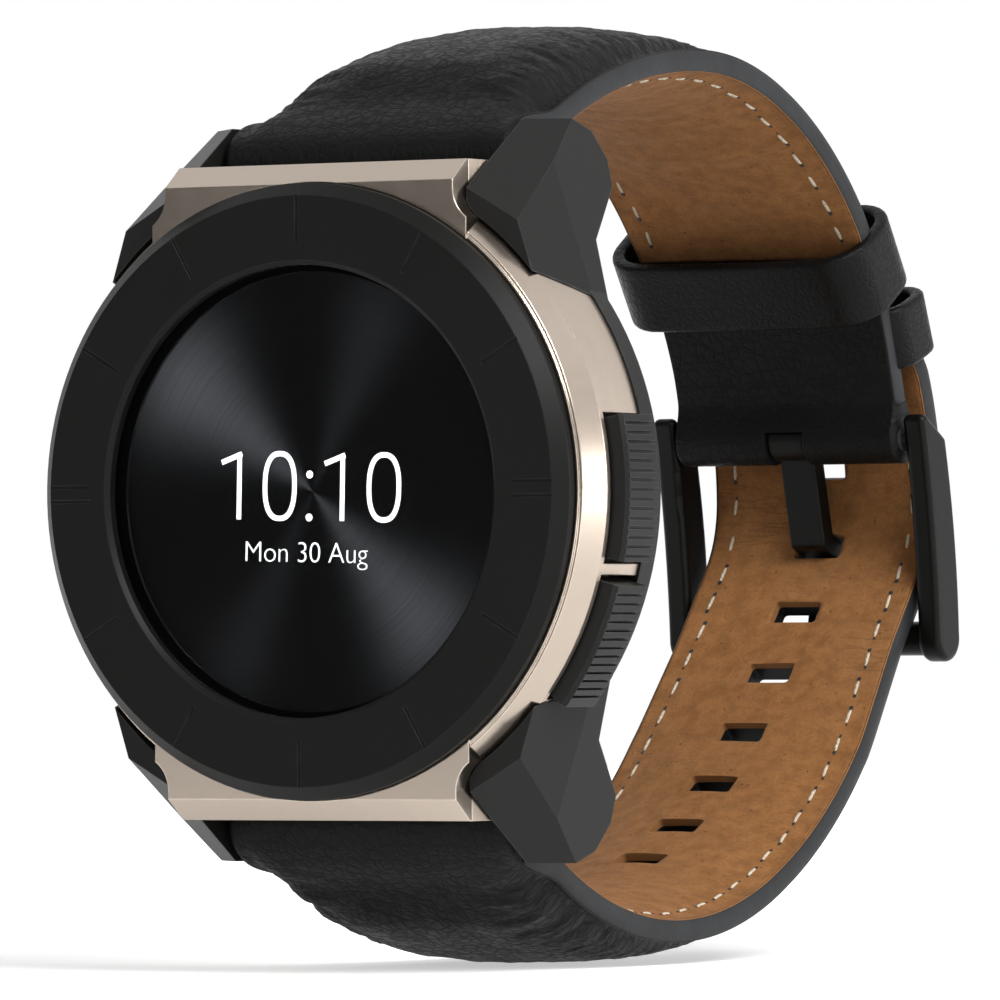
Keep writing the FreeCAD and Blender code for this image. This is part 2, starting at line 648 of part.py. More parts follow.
def make_spring(name, middle):
    """The wave spring between the seal and the cap: flat rings that touch at three crests."""
    start = number(S.window_floor) - 0.4
    length = number(S.button_inner) - 0.05 - start
    leaf = number(S.spring_leaf)
    rings = int(number(S.spring_rings))
    radius = number(S.spring_radius)
    half = number(S.spring_width) / 2
    step = (length - leaf) / (rings - 1)
    pieces = []
    for index in range(rings):
        ring = Part.makeCylinder(radius + half, leaf, Vector(0, 0, index * step))
        pieces.append(ring.cut(Part.makeCylinder(radius - half, leaf, Vector(0, 0, index * step))))
    for index in range(rings - 1):
        for crest in range(3):
            turn = math.radians(60 * index + 120 * crest)
            spot = Vector(radius * math.cos(turn), radius * math.sin(turn), index * step)
            pieces.append(Part.makeCylinder(half * 0.7, step + leaf / 2, spot))
    spring = pieces[0].fuse(pieces[1:]).removeSplitter()
    turn = Rotation(Vector(0, 1, 0), number(middle))
    item = shaped(name + "_spring", spring)
    item.Placement = Placement(turn.multVec(Vector(start, number(button_axis()), 0)), turn * ALONG_X)
    part("pusher_spring_" + name, item)


# ---------------------------------------------------------------- strap routes

class Route:
    """The inner face of a strap half in the (y, z) plane: arcs that all curve inwards, and a line."""

    def __init__(self, side):
        self.side = side
        self.runs = []

    def arc(self, centre, radius, start, end):
        """An arc travelled from a larger to a smaller angle, in degrees."""
        length = math.radians(start - end) * radius
        self.runs.append(("arc", length, centre, radius, start))

    def line(self, start, heading, length):
        self.runs.append(("line", length, start, heading, 0))

    def length(self):
        return sum(run[1] for run in self.runs)

    def locate(self, distance):
        for index, run in enumerate(self.runs):
            if distance <= run[1] or index == len(self.runs) - 1:
                return run, distance
            distance -= run[1]

    def point(self, distance, offset=0.0):
        """The point at a distance along the route, `offset` outside its inner face."""
        (kind, length, origin, size, start), rest = self.locate(distance)
        if kind == "line":
            angle = math.radians(size)
            y = origin[0] + rest * math.cos(angle) - offset * math.sin(angle)
            z = origin[1] + rest * math.sin(angle) + offset * math.cos(angle)
        else:
            angle = math.radians(start) - rest / size
            y = origin[0] + (size + offset) * math.cos(angle)
            z = origin[1] + (size + offset) * math.sin(angle)
        return Vector(0, y, z * self.side)

    def heading(self, distance):
        """The direction of travel in degrees, before the lower half is mirrored."""
        (kind, length, origin, size, start), rest = self.locate(distance)
        if kind == "line":
            return size
        return start - math.degrees(rest / size) - 90

    def find(self, reach, offset=0.0):
        """The distance where the rear of the route passes the height `reach`, by halving."""
        low = self.runs[0][1]
        high = self.length()
        for step in range(40):
            middle = (low + high) / 2
            if self.point(middle, offset).z * self.side > reach:
                low = middle
            else:
                high = middle
        return (low + high) / 2

    def breaks(self, start, end):
        marks = [start]
        total = 0.0
        for run in self.runs:
            total += run[1]
            if start + 0.01 < total < end - 0.01:
                marks.append(total)
        return marks + [end]

    def edges(self, start, end, offset):
        """The curve of one offset between two distances, in either direction."""
        marks = self.breaks(min(start, end), max(start, end))
        if start > end:
            marks.reverse()
        edges = []
        for low, high in zip(marks, marks[1:]):
            middle = (low + high) / 2
            first, last = self.point(low, offset), self.point(high, offset)
            if self.locate(middle)[0][0] == "line":
                curve = Part.LineSegment(first, last)
            else:
                curve = Part.Arc(first, self.point(middle, offset), last)
            edges.append(curve.toShape())
        return edges

    def band(self, start, end, inner, outer, half):
        """A layer of the strap between two offsets, `half` wide to each side."""
        return slab(self.edges(start, end, outer) + self.edges(end, start, inner), half)


def slab(edges, half):
    """A closed outline of edges in order, its gaps closed by lines, extruded along X both ways."""
    outline = []
    for index, edge in enumerate(edges):
        following = edges[(index + 1) % len(edges)]
        outline.append(edge)
        leave, enter = edge.lastVertex().Point, following.firstVertex().Point
        if leave.distanceToPoint(enter) > 1e-6:
            outline.append(Part.LineSegment(leave, enter).toShape())
    face = Part.Face(Part.Wire(outline))
    face.translate(Vector(-half, 0, 0))
    return face.extrude(Vector(2 * half, 0, 0))


def loop_centre():
    return number(behind(S.loop_shift))


def arch_start():
    """The angle on the front arch where the strap comes off its spring bar."""
    run = number(S.loop_shift - S.bar_depth)
    return 90 + math.degrees(math.asin(run / number(S.arch_radius)))


def short_route():
    """From the 12 o'clock bar over the arch and down the back to the buckle."""
    route = Route(1)
    centre = loop_centre()
    radius = number(S.loop_radius)
    arch = number(S.arch_radius)
    route.arc((centre, radius - arch), arch, arch_start(), 90)
    route.arc((centre, 0.0), radius, 90, -10)
    return route


def long_route():
    """From the 6 o'clock bar round the back and outside the buckle end; z is mirrored."""
    route = Route(-1)
    radius = number(S.loop_radius)
    arch = number(S.arch_radius)
    run = number(S.loop_shift - S.bar_depth)
    drop = arch - math.sqrt(arch ** 2 - run ** 2)
    lowest = number(behind(S.sag_shift))
    reach = number(S.sag_shift - S.bar_depth)
    front = (reach ** 2 + drop ** 2) / (2 * drop)
    route.arc((lowest, radius - front), front, 90 + math.degrees(math.asin(reach / front)), 90)
    wide = number(S.long_radius)
    bulge = number(S.bulge_radius)
    tail = number(S.tail_radius)
    leave = number(S.leave_angle)
    route.arc((lowest, radius - wide), wide, 90, 90 - leave)
    outward = unit(90 - leave)
    travel = unit(-leave)
    start = Vector(lowest, radius - wide, 0) + outward * wide
    route.line((start.x, start.y), -leave, number(S.run_length))
    pivot = start + travel * number(S.run_length) - outward * bulge
    route.arc((pivot.x, pivot.y), bulge, 90 - leave, 0)
    route.arc((pivot.x + bulge - tail, pivot.y), tail, 0, -60)
    return route


def unit(angle):
    """The direction at an angle in degrees, as a flat vector."""
    return Vector(math.cos(math.radians(angle)), math.sin(math.radians(angle)), 0)


def taper(tail, low, high):
    """The strap's plan: lug width at the case, narrower at the buckle."""
    back = number(S.case_depth)
    lug = number(S.lug_width) / 2
    hinge = number(S.hinge_width) / 2
    end = number(S.taper_end)
    rows = [(lug, number(S.bar_depth - S.taper_start)), (lug, number(S.bar_depth + S.taper_wait)),
            (hinge, number(S.loop_shift + S.bar_depth)), (tail, end), (tail, end * 2)]
    outline = [Vector(x, depth - back, low) for x, depth in rows]
    outline += [Vector(-x, depth - back, low) for x, depth in reversed(rows)]
    wire = Part.makePolygon(outline + outline[:1])
    return Part.Face(wire).extrude(Vector(0, 0, high - low))


def flex_distance(route):
    """Where the strap bends when the loop sways, as far along from its bar in both halves."""
    return route.find(number(S.bar_reach) + number(S.flex_lift) * route.side, number(S.leather) / 2)


def front_half(name, route, tail):
    """The padded front of a strap half, split into cover, padding and lining."""
    side = route.side
    half = number(S.lug_width) / 2 + 1
    end = flex_distance(route) - number(S.flex_gap) / 2
    thick = number(S.leather)
    lining_height = number(S.lining)
    skin = number(S.skin)
    bar = Vector(-half, number(behind(S.bar_depth)), side * number(S.bar_reach))
    start = 1.0
    pad_end = pad_distance(route)
    lining = route.band(start, end, 0.0, lining_height, half)
    cover = route.band(pad_end - 0.5, end, lining_height, thick, half)
    eye = Part.makeCylinder(number(S.eye_radius), 2 * half, bar, Vector(1, 0, 0))
    pad = crown(route, start, pad_end, thick, half, 0.0)
    core = crown(route, start + 3.4, pad_end - 2.0, thick, half, skin)
    hole = Part.makeCylinder(number(S.bar_radius + S.fit), 2 * half, bar, Vector(1, 0, 0))
    ring = Part.makeCylinder(number(S.bar_radius + S.fit) + skin * 0.8, 2 * half, bar, Vector(1, 0, 0))
    plan = taper(tail, -60, 60)
    lining = lining.cut([hole, ring]).common(plan)
    core = core.cut([lining, ring]).common(plan)
    cover = cover.fuse([pad, eye]).cut([hole]).common(plan)
    cover = cover.cut([lining, core]).removeSplitter()
    part(name + "_cover_front", shaped(name + "_cover_front", solid_of(cover)))
    part(name + "_padding", shaped(name + "_padding", solid_of(core)))
    part(name + "_lining_front", shaped(name + "_lining_front", solid_of(lining)))


def pad_distance(route):
    """The distance along the route where the padding ends."""
    start = route.runs[0][1]
    centre, radius = route.runs[1][2], route.runs[1][3]
    return start + math.asin((number(behind(S.padding_end)) - centre[0]) / radius) * radius


def crown(route, start, end, thick, half, inset):
    """The padded hump between the lining and the outer skin."""
    lining_height = number(S.lining)
    side = route.side
    top = Vector(0, number(behind(S.crown_depth)), side * (number(S.crown_reach) - inset))
    first = route.point(start, number(S.eye_radius) * 2 - inset)
    last = route.point(end, thick - min(inset, thick - lining_height - 0.1))
    arc = Part.Arc(first, top, last).toShape()
    return slab([arc] + route.edges(end, start, lining_height), half)


def solid_of(shape):
    """The single largest solid of a boolean result."""
    return max(shape.Solids, key=lambda item: item.Volume)


def buckle_axis():
    """The y of the buckle's bar."""
    reach = number(S.buckle_reach)
    return loop_centre() + math.sqrt(number(S.buckle_radius) ** 2 - reach ** 2)


def make_short_rear():
    """The thin rear of the short half: the cover folds back round the buckle's bar."""
    route = short_route()
    half = number(S.lug_width)
    start = flex_distance(route) + number(S.flex_gap) / 2
    thick = number(S.leather)
    lining_height = number(S.lining)
    fold = route.find(number(S.fold_start))
    end = route.find(number(S.buckle_reach))
    plan = taper(number(S.buckle_width) / 2, -60, 60)
    lining = route.band(start, fold, 0.0, lining_height, half).common(plan)
    cover = route.band(start, end, 0.0, thick, half)
    bar = Vector(-half, buckle_axis(), number(S.buckle_reach))
    eye = Part.makeCylinder(number(S.fold_radius), 2 * half, bar, Vector(1, 0, 0))
    hole = Part.makeCylinder(number(S.bar_radius + S.fit), 2 * half, bar, Vector(1, 0, 0))
    slot_half = number(S.tang_width) / 2 + number(S.slot_play)
    slot = Part.makeBox(2 * slot_half, 12, 12)
    slot.translate(Vector(-slot_half, buckle_axis() - 6, number(S.buckle_reach + S.slot_rise) - 12))
    room = Part.makeCylinder(number(S.bar_radius + S.fit * 2 + S.eye_wall), 2 * slot_half,
                             bar + Vector(half - slot_half, 0, 0), Vector(1, 0, 0))
    cover = cover.fuse(eye).cut([hole, slot, room]).common(plan).cut([lining, sewn_keeper_shape()])
    part("short_strap_cover_rear", shaped("short_strap_cover_rear", solid_of(cover)))
    part("short_strap_lining_rear", shaped("short_strap_lining_rear", solid_of(lining)))


def hole_distances(route):
    """Distances of the long half's holes: one beyond the tang towards the tip, six before it."""
    first = route.find(-number(S.tang_hole), number(S.leather) / 2)
    pitch = number(S.hole_pitch)
    return [first - pitch * step for step in range(-1, 7)]


def hole_tool(route, distance):
    length = number(S.hole_length)
    width = number(S.hole_width)
    tool = Part.makeBox(width, length, 12, Vector(-width / 2, -length / 2, -6))
    spot = route.point(distance, number(S.leather) / 2)
    turn = Rotation(Vector(1, 0, 0), route.heading(distance) * route.side)
    tool.Placement = Placement(spot, turn)
    return tool


def make_long_rear():
    """The thin rear of the long half, with its holes and rounded tip."""
    route = long_route()
    half = number(S.lug_width)
    start = flex_distance(route) + number(S.flex_gap) / 2
    end = route.find(-number(S.tip_reach))
    thick = number(S.leather)
    lining_height = number(S.lining)
    plan = taper(number(S.buckle_width) / 2 - 0.2, -60, 60)
    tip = tip_outline(number(S.buckle_width) / 2, number(S.tip_reach))
    tools = [hole_tool(route, spot) for spot in hole_distances(route)]
    for name, low, high in (("lining", 0.0, lining_height), ("cover", lining_height, thick)):
        layer = route.band(start, end, low, high, half).common(plan).common(tip).cut(tools)
        part("long_strap_%s_rear" % name, shaped("long_strap_%s_rear" % name, solid_of(layer)))


def tip_outline(half, reach):
    """A plate in the XZ plane whose upper end is the strap's rounded tip."""
    back = 90.0
    rise = half * 0.9
    low = Vector(-half - 2, -back, -60)
    corners = [low, Vector(half + 2, -back, -60), Vector(half + 2, -back, reach - rise),
               Vector(half, -back, reach - rise)]
    lines = [Part.LineSegment(a, b).toShape() for a, b in zip(corners, corners[1:])]
    lines.append(Part.Arc(corners[3], Vector(0, -back, reach), Vector(-half, -back, reach - rise)).toShape())
    lines.append(Part.LineSegment(Vector(-half, -back, reach - rise),
                                  Vector(-half - 2, -back, reach - rise)).toShape())
    lines.append(Part.LineSegment(Vector(-half - 2, -back, reach - rise), low).toShape())
    return Part.Face(Part.Wire(lines)).extrude(Vector(0, 2 * back, 0))


def make_long_front():
    route = long_route()
    front_half("long_strap", route, number(S.buckle_width) / 2)


# ---------------------------------------------------------------- keepers, bars and buckle

def make_keepers():
    """The sliding keeper goes right round both layers; the sewn one starts inside the fold."""
    inner = number(S.loop_radius - S.keeper_slack)
    outer = tail_reach(S.keeper_reach - S.keeper_length / 2)
    wall = number(S.keeper_wall)
    half = number(S.buckle_width) / 2 + number(S.keeper_play) + 0.4
    free = keeper_ring(inner, outer, wall, half, number(S.keeper_reach), number(S.keeper_length))
    part("sliding_keeper", shaped("sliding_keeper", free))
    part("sewn_keeper", shaped("sewn_keeper", sewn_keeper_shape()))


def sewn_keeper_shape():
    """The sewn keeper's inner wall lies in the face of the folded cover."""
    inner = number(S.loop_radius + S.leather)
    outer = tail_reach(S.sewn_reach - S.sewn_length / 2)
    half = number(S.buckle_width) / 2 + number(S.keeper_play) + 0.1
    wall = number(S.keeper_wall)
    return keeper_ring(inner, outer, wall, half, number(S.sewn_reach), number(S.sewn_length))


def tail_reach(height):
    """How far from the loop's centre a keeper must reach to clear the long half's tail at a height."""
    route = long_route()
    spot = route.point(route.find(-number(height), number(S.leather)), number(S.leather))
    return math.hypot(spot.y - loop_centre(), spot.z) + number(S.keeper_gap)


def keeper_ring(inner, outer, wall, half, reach, length):
    """A leather loop between two radii of the strap's rear circle, at a height."""
    middle = math.degrees(math.asin(reach / ((inner + outer) / 2)))
    swing = math.degrees(length / (inner + outer))
    solid = circle_band(inner - wall, outer + wall, middle + swing, middle - swing, half + wall)
    room = circle_band(inner, outer, middle + swing + 2, middle - swing - 2, half)
    return solid.cut(room)


def circle_band(inner, outer, start, end, half):
    """A block between two radii and two angles of the strap's rear circle."""
    centre = Vector(-half, loop_centre(), 0)
    span = start - end
    ring = Part.makeCylinder(outer, 2 * half, centre, Vector(1, 0, 0), 360)
    ring = ring.cut(Part.makeCylinder(inner, 2 * half, centre, Vector(1, 0, 0), 360))
    size = outer + 5
    corners = [centre]
    for step in range(4):
        angle = math.radians(end + span * step / 3)
        corners.append(centre + Vector(0, math.cos(angle), math.sin(angle)) * size)
    wedge = Part.Face(Part.makePolygon(corners + corners[:1])).extrude(Vector(2 * half, 0, 0))
    return ring.common(wedge)


def make_bar(name, y, z, span):
    """A spring bar: a tube whose ends are turned in over two sprung tips."""
    half = span / 2 - S.fit * 6
    outer = cylinder(name + "_tube_outer", S.bar_radius, half * 2, x=-half, y=y, z=z, turn=ALONG_X)
    bore = cylinder(name + "_tube_bore", S.tube_bore, (half - S.tube_wall) * 2,
                    x=-(half - S.tube_wall), y=y, z=z, turn=ALONG_X)
    ends = cylinder(name + "_tube_ends", S.pin_radius + S.fit, half * 2, x=-half, y=y, z=z, turn=ALONG_X)
    part(name + "_tube", cut(name + "_tube", outer, bore, ends))
    inner = half - S.tube_wall - S.fit
    for side, word in ((1, "right"), (-1, "left")):
        length = span / 2 + S.pin_grip - inner
        start = inner if side == 1 else -(inner + length)
        pin = cylinder("%s_pin_%s" % (name, word), S.pin_radius, length, x=start, y=y, z=z, turn=ALONG_X)
        collar_start = inner - S.flange_height if side == 1 else -inner
        collar = cylinder("%s_collar_%s" % (name, word), S.flange_radius, S.flange_height,
                          x=collar_start, y=y, z=z, turn=ALONG_X)
        part("%s_tip_%s" % (name, word), fuse("%s_tip_%s" % (name, word), pin, collar))


def make_bars():
    span = S.bridge_width + S.lug_gap * 2
    y = behind(S.bar_depth)
    make_bar("upper_bar", y, S.bar_reach, span)
    make_bar("lower_bar", y, -S.bar_reach, span)
    make_bar("buckle_bar", buckle_axis(), S.buckle_reach, S.buckle_width + S.arm_gap * 2)


def cross_centre():
    """The cross bar's axis, just outside the long half's leather."""
    route = long_route()
    spot = route.find(-number(S.cross_reach), number(S.leather))
    return route.point(spot, number(S.leather) + number(S.cross_radius + S.cross_gap))


def make_buckle():
    """Two rounded arms on the buckle's bar, joined by a cross bar outside the strap."""
    half = number(S.buckle_width) / 2 + number(S.arm_gap)
    cross = cross_centre()
    right = buckle_arm(half, cross)
    left = right.mirror(Vector(), Vector(1, 0, 0))
    reach = half + number(S.arm_width) / 2
    bar = Part.makeCylinder(number(S.cross_radius), 2 * reach, cross - Vector(reach, 0, 0), Vector(1, 0, 0))
    hub = Vector(-half - number(S.pin_grip) - 0.05, buckle_axis(), number(S.buckle_reach))
    hole = Part.makeCylinder(number(S.pin_radius + S.fit), 2 * -hub.x, hub, Vector(1, 0, 0))
    frame = right.fuse([left, bar]).cut(hole).removeSplitter()
    part("buckle_frame", shaped("buckle_frame", frame))
    make_tang(cross)


def buckle_arm(low, cross):
    """The right arm: a bowed bar from a slanted head round the pin to a round foot on the cross bar."""
    head = Vector(low, buckle_axis(), number(S.buckle_reach))
    foot = cross + Vector(low, 0, 0)
    travel = foot - head
    travel.normalize()
    out = Vector(0, -travel.z, travel.y) * number(S.foot_radius)
    bow = Vector(0, number(S.arm_bow), 0)
    front_top = head + Vector(0, -number(S.arm_lead), number(S.arm_rise))
    back_top = head + Vector(0, number(S.arm_trail), number(S.arm_drop))
    front_foot, back_foot = foot - out, foot + out
    edges = [Part.LineSegment(front_top, back_top).toShape(),
             Part.Arc(back_top, (back_top + back_foot) / 2 + bow, back_foot).toShape(),
             Part.Arc(back_foot, foot + travel * number(S.foot_radius), front_foot).toShape(),
             Part.Arc(front_foot, (front_top + front_foot) / 2 + bow, front_top).toShape()]
    arm = Part.Face(Part.Wire(edges)).extrude(Vector(number(S.arm_width), 0, 0))
    return arm.makeFillet(number(S.arm_round), arm.Edges)


def make_tang(cross):
    """The tongue: an eye round the bar, a blade inside the strap, a step through the hole, the tip."""
    route = long_route()
    half = number(S.tang_width) / 2
    height = number(S.tang_height)
    hole_spot = route.find(-number(S.tang_hole), number(S.leather) / 2)
    clear = number(S.tang_clear) + height / 2
    hub = Vector(0, buckle_axis(), number(S.buckle_reach))
    start = hub + Vector(0, number(S.tang_set), 0)
    inside = route.point(hole_spot, -clear)
    outside = route.point(hole_spot, number(S.leather) + clear)
    reach = number(S.cross_radius) + number(S.tang_rest) + height / 2
    travel = cross - outside
    line = math.sqrt(travel.Length ** 2 - reach ** 2)
    lean = math.asin(reach / travel.Length)
    travel.normalize()
    travel = Vector(0, travel.y * math.cos(lean) - travel.z * math.sin(lean),
                    travel.y * math.sin(lean) + travel.z * math.cos(lean))
    rest = outside + travel * line
    blade = bent_bar([start, inside, outside, rest + travel * 1.4], height, half)
    base = hub - Vector(half, 0, 0)
    eye = Part.makeCylinder(number(S.bar_radius + S.fit + S.eye_wall), 2 * half, base, Vector(1, 0, 0))
    hole = Part.makeCylinder(number(S.bar_radius + S.fit), 2 * half, base, Vector(1, 0, 0))
    part("buckle_tang", shaped("buckle_tang", blade.fuse(eye).cut(hole).removeSplitter()))


def bent_bar(points, height, half):
    """A flat bar through points in the (y, z) plane, with rounded bends."""
    pieces = []
    for first, last in zip(points, points[1:]):
        travel = last - first
        travel.normalize()
        out = Vector(0, -travel.z, travel.y) * (height / 2)
        corners = [first + out, last + out, last - out, first - out]
        face = Part.Face(Part.makePolygon(corners + corners[:1]))
        face.translate(Vector(-half, 0, 0))
        pieces.append(face.extrude(Vector(2 * half, 0, 0)))
        pieces.append(Part.makeCylinder(height / 2, 2 * half, last - Vector(half, 0, 0), Vector(1, 0, 0)))
    return pieces[0].fuse(pieces[1:])


# ---------------------------------------------------------------- build, check, write

def check_all():
    for item in DOC.Objects:
        if "Invalid" in item.State or "Error" in item.State:
            raise RuntimeError("failed object: " + item.Label)
    for item in PARTS:
        if item.Shape.isNull() or not item.Shape.isValid() or not item.Shape.Solids:
            raise RuntimeError("bad shape: " + item.Label)


def main():
    make_bezel()
    make_display()
    make_case_ring()
    make_lug_frame()
    make_case_back()
    make_inside()
    for name, middle, half in button_list():
        make_button(name, middle, half)
    front_half("short_strap", short_route(), number(S.buckle_width) / 2)
    make_short_rear()
    make_long_front()
    make_long_rear()
    make_keepers()
    make_bars()
    make_buckle()
    DOC.recompute()
    check_all()
    os.makedirs("parts", exist_ok=True)
    for item in PARTS:
        item.Shape.exportStep("parts/%s.step" % item.Label)
        print("%-26s %9.2f mm3 %d" % (item.Label, item.Shape.Volume, len(item.Shape.Solids)))


main()
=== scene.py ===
"""Looks of a leather-strap smartwatch: metal finishes, soft leather, stitching and the lit dial."""

import json
import math

import bmesh
import bpy
from bpy.props import FloatProperty, FloatVectorProperty, IntProperty, PointerProperty, StringProperty
from mathutils import Matrix, Vector, noise


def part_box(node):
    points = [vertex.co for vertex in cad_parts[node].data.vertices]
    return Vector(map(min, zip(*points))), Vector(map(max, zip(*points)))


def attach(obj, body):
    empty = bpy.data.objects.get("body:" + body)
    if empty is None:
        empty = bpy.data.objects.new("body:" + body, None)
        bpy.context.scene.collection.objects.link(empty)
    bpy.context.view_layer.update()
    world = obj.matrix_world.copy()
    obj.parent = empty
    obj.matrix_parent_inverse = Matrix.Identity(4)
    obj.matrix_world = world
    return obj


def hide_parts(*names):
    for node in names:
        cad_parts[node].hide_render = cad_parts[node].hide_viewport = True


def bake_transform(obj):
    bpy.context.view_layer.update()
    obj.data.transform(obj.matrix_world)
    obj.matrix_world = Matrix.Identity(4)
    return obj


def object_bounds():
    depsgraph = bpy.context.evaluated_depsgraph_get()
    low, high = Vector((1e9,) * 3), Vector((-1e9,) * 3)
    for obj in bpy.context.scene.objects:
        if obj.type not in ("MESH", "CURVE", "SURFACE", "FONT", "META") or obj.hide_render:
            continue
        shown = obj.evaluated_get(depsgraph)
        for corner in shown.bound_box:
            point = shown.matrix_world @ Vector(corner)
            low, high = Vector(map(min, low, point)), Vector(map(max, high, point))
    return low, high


bl_info = {
    "name": "Leather Strap Smartwatch",
    "version": (1, 0, 0),
    "blender": (4, 5, 0),
    "location": "View3D > Sidebar > Watch",
    "description": "Dresses a smartwatch with leather, metal and a lit dial",
    "category": "Object",
}

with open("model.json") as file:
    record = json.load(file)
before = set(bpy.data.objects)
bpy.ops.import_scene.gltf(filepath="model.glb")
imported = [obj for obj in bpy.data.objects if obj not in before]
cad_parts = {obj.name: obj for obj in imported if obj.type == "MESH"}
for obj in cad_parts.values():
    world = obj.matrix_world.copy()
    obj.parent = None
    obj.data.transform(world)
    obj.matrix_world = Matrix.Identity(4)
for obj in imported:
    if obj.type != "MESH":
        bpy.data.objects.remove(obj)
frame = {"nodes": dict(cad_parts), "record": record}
CAD_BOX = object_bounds()
MM = 0.001


def grey(value):
    return (value, value, value, 1.0)


# ---------------------------------------------------------------- places read from the frame

def low(node):
    return Vector(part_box(node)[0])


def high(node):
    return Vector(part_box(node)[1])


def centre(node):
    return (low(node) + high(node)) / 2


def joint_place(name):
    for joint in frame["record"]["behaviour"]["joints"]:
        if joint["name"] == name:
            return Vector(joint["pos_m"])
    raise ValueError("no joint " + name)


LOOP_CENTRE = joint_place("sliding_loop_shift")
LINING_HEIGHT = 0.6 * MM
LEATHER_HEIGHT = 1.6 * MM
LOOP_RADIUS = high("short_strap_lining_front").z - LINING_HEIGHT
LUG_BAR = centre("upper_bar_tube")
BUCKLE_BAR = centre("buckle_bar_tube")
DIAL_FRONT = low("bezel_ring").y
FLEX_LIFT = 0.9 * MM
FIRST_HOLE = 3.7 * MM
# Heading, width and strength of each fan of the dial's painted reflection.
PAINTED_REFLECTION_FANS = ((143.0, 30.0, 1.0), (-46.0, 27.0, 0.85), (66.0, 22.0, 0.16), (-118.0, 20.0, 0.12))


# ---------------------------------------------------------------- settings

def length_property(name, description, value):
    return FloatProperty(name=name, description=description, default=value, subtype="DISTANCE", unit="LENGTH")


def angle_property(name, description, degrees):
    return FloatProperty(name=name, description=description, default=math.radians(degrees),
                         subtype="ANGLE", unit="ROTATION")


def color_property(name, description, value):
    return FloatVectorProperty(name=name, description=description, subtype="COLOR", size=4, default=value)


class StrapSettings(bpy.types.PropertyGroup):
    """Sizes and colours of the leather strap."""

    arch_radius: length_property("Arch Radius", "Bend of the padded front", 50.0 * MM)
    lowest: length_property("Lowest Point", "Where the long half runs level, behind the case back",
                            20.3 * MM)
    long_radius: length_property("Long Half Radius", "Bend of the long half's rear", 36.5 * MM)
    leave_angle: angle_property("Leave Angle", "Where the long half leaves its wide bend", 51.7)
    run_length: length_property("Straight Run", "Straight part of the long half by the holes",
                                13.95 * MM)
    bulge_radius: length_property("Bulge Radius", "Tight bend where the long half turns up", 8.0 * MM)
    tail_radius: length_property("Tail Radius", "Bend of the tail outside the short half", 22.2 * MM)
    bow: length_property("Bow", "How far the padded parts curl towards the wrist", 1.9 * MM)
    wrinkle_height: length_property("Wrinkle Height", "Depth of the creases in the padding", 0.26 * MM)
    groove: length_property("Groove", "Depth of the sewn groove inside the edge", 0.5 * MM)
    hole_width: length_property("Hole Width", "Adjustment hole across the strap", 3.8 * MM)
    hole_length: length_property("Hole Length", "Adjustment hole along the strap", 1.9 * MM)
    hole_pitch: length_property("Hole Pitch", "Distance between adjustment holes", 6.0 * MM)
    hole_count: IntProperty(name="Holes", description="Number of adjustment holes", default=8, min=1)
    stitch_pitch: length_property("Stitch Pitch", "Distance between stitches", 2.7 * MM)
    stitch_length: length_property("Stitch Length", "Visible length of a stitch", 1.6 * MM)
    stitch_inset: length_property("Stitch Inset", "Distance of the seam from the edge", 1.65 * MM)
    thread_radius: length_property("Thread Radius", "Half the thickness of the thread", 0.13 * MM)
    leather_color: color_property("Leather", "Outer leather", (0.0036, 0.0036, 0.0034, 1.0))
    lining_color: color_property("Lining", "Nubuck lining", (0.325, 0.145, 0.048, 1.0))
    edge_color: color_property("Edge Paint", "Painted strap edge", (0.013, 0.0135, 0.0145, 1.0))
    thread_color: color_property("Thread", "Stitching on the lining", (0.72, 0.64, 0.50, 1.0))


class CaseSettings(bpy.types.PropertyGroup):
    """Finishes of the case, the lugs and the pushers."""

    case_color: color_property("Case", "Brushed case metal", (0.455, 0.385, 0.322, 1.0))
    bezel_color: color_property("Bezel", "Matte bezel", (0.0035, 0.0035, 0.0032, 1.0))
    lug_color: color_property("Lugs", "Satin lugs and pushers", (0.010, 0.010, 0.0096, 1.0))
    buckle_color: color_property("Buckle", "Matte buckle", (0.003, 0.003, 0.0026, 1.0))
    edge_radius: length_property("Edge Radius", "Softened width of machined edges", 0.12 * MM)


class DialSettings(bpy.types.PropertyGroup):
    """What the lit dial shows."""

    hours: StringProperty(name="Hours", description="Hours on the dial", default="10")
    minutes: StringProperty(name="Minutes", description="Minutes on the dial", default="10")
    date: StringProperty(name="Date", description="Small line under the time", default="Mon 30 Aug")
    digit_height: length_property("Digit Height", "Height of the time's digits", 4.64 * MM)
    digit_rise: length_property("Digit Rise", "Middle of the digits above the dial's centre", 0.35 * MM)
    tilt: angle_property("Tilt", "How far the picture is turned on the panel", -1.4)
    stroke: length_property("Stroke", "Line width of the digits", 0.36 * MM)
    light: FloatProperty(name="Light", description="Strength of the digits", default=1.0, min=0.0)


class StudioSettings(bpy.types.PropertyGroup):
    """The camera."""

    azimuth: angle_property("Azimuth", "Turn of the camera round the watch", 32.31)
    elevation: angle_property("Elevation", "Height of the camera as an angle", -0.88)
    roll: angle_property("Roll", "Tilt of the camera", -0.30)
    distance: length_property("Distance", "Camera to dial", 0.7)
    lens: FloatProperty(name="Lens", description="Focal length in millimetres", default=371.2, unit="CAMERA")
    aim_right: length_property("Aim Right", "Aim beside the dial's centre", 13.76 * MM)
    aim_down: length_property("Aim Down", "Aim below the dial's centre", 0.59 * MM)


# ---------------------------------------------------------------- shader helpers

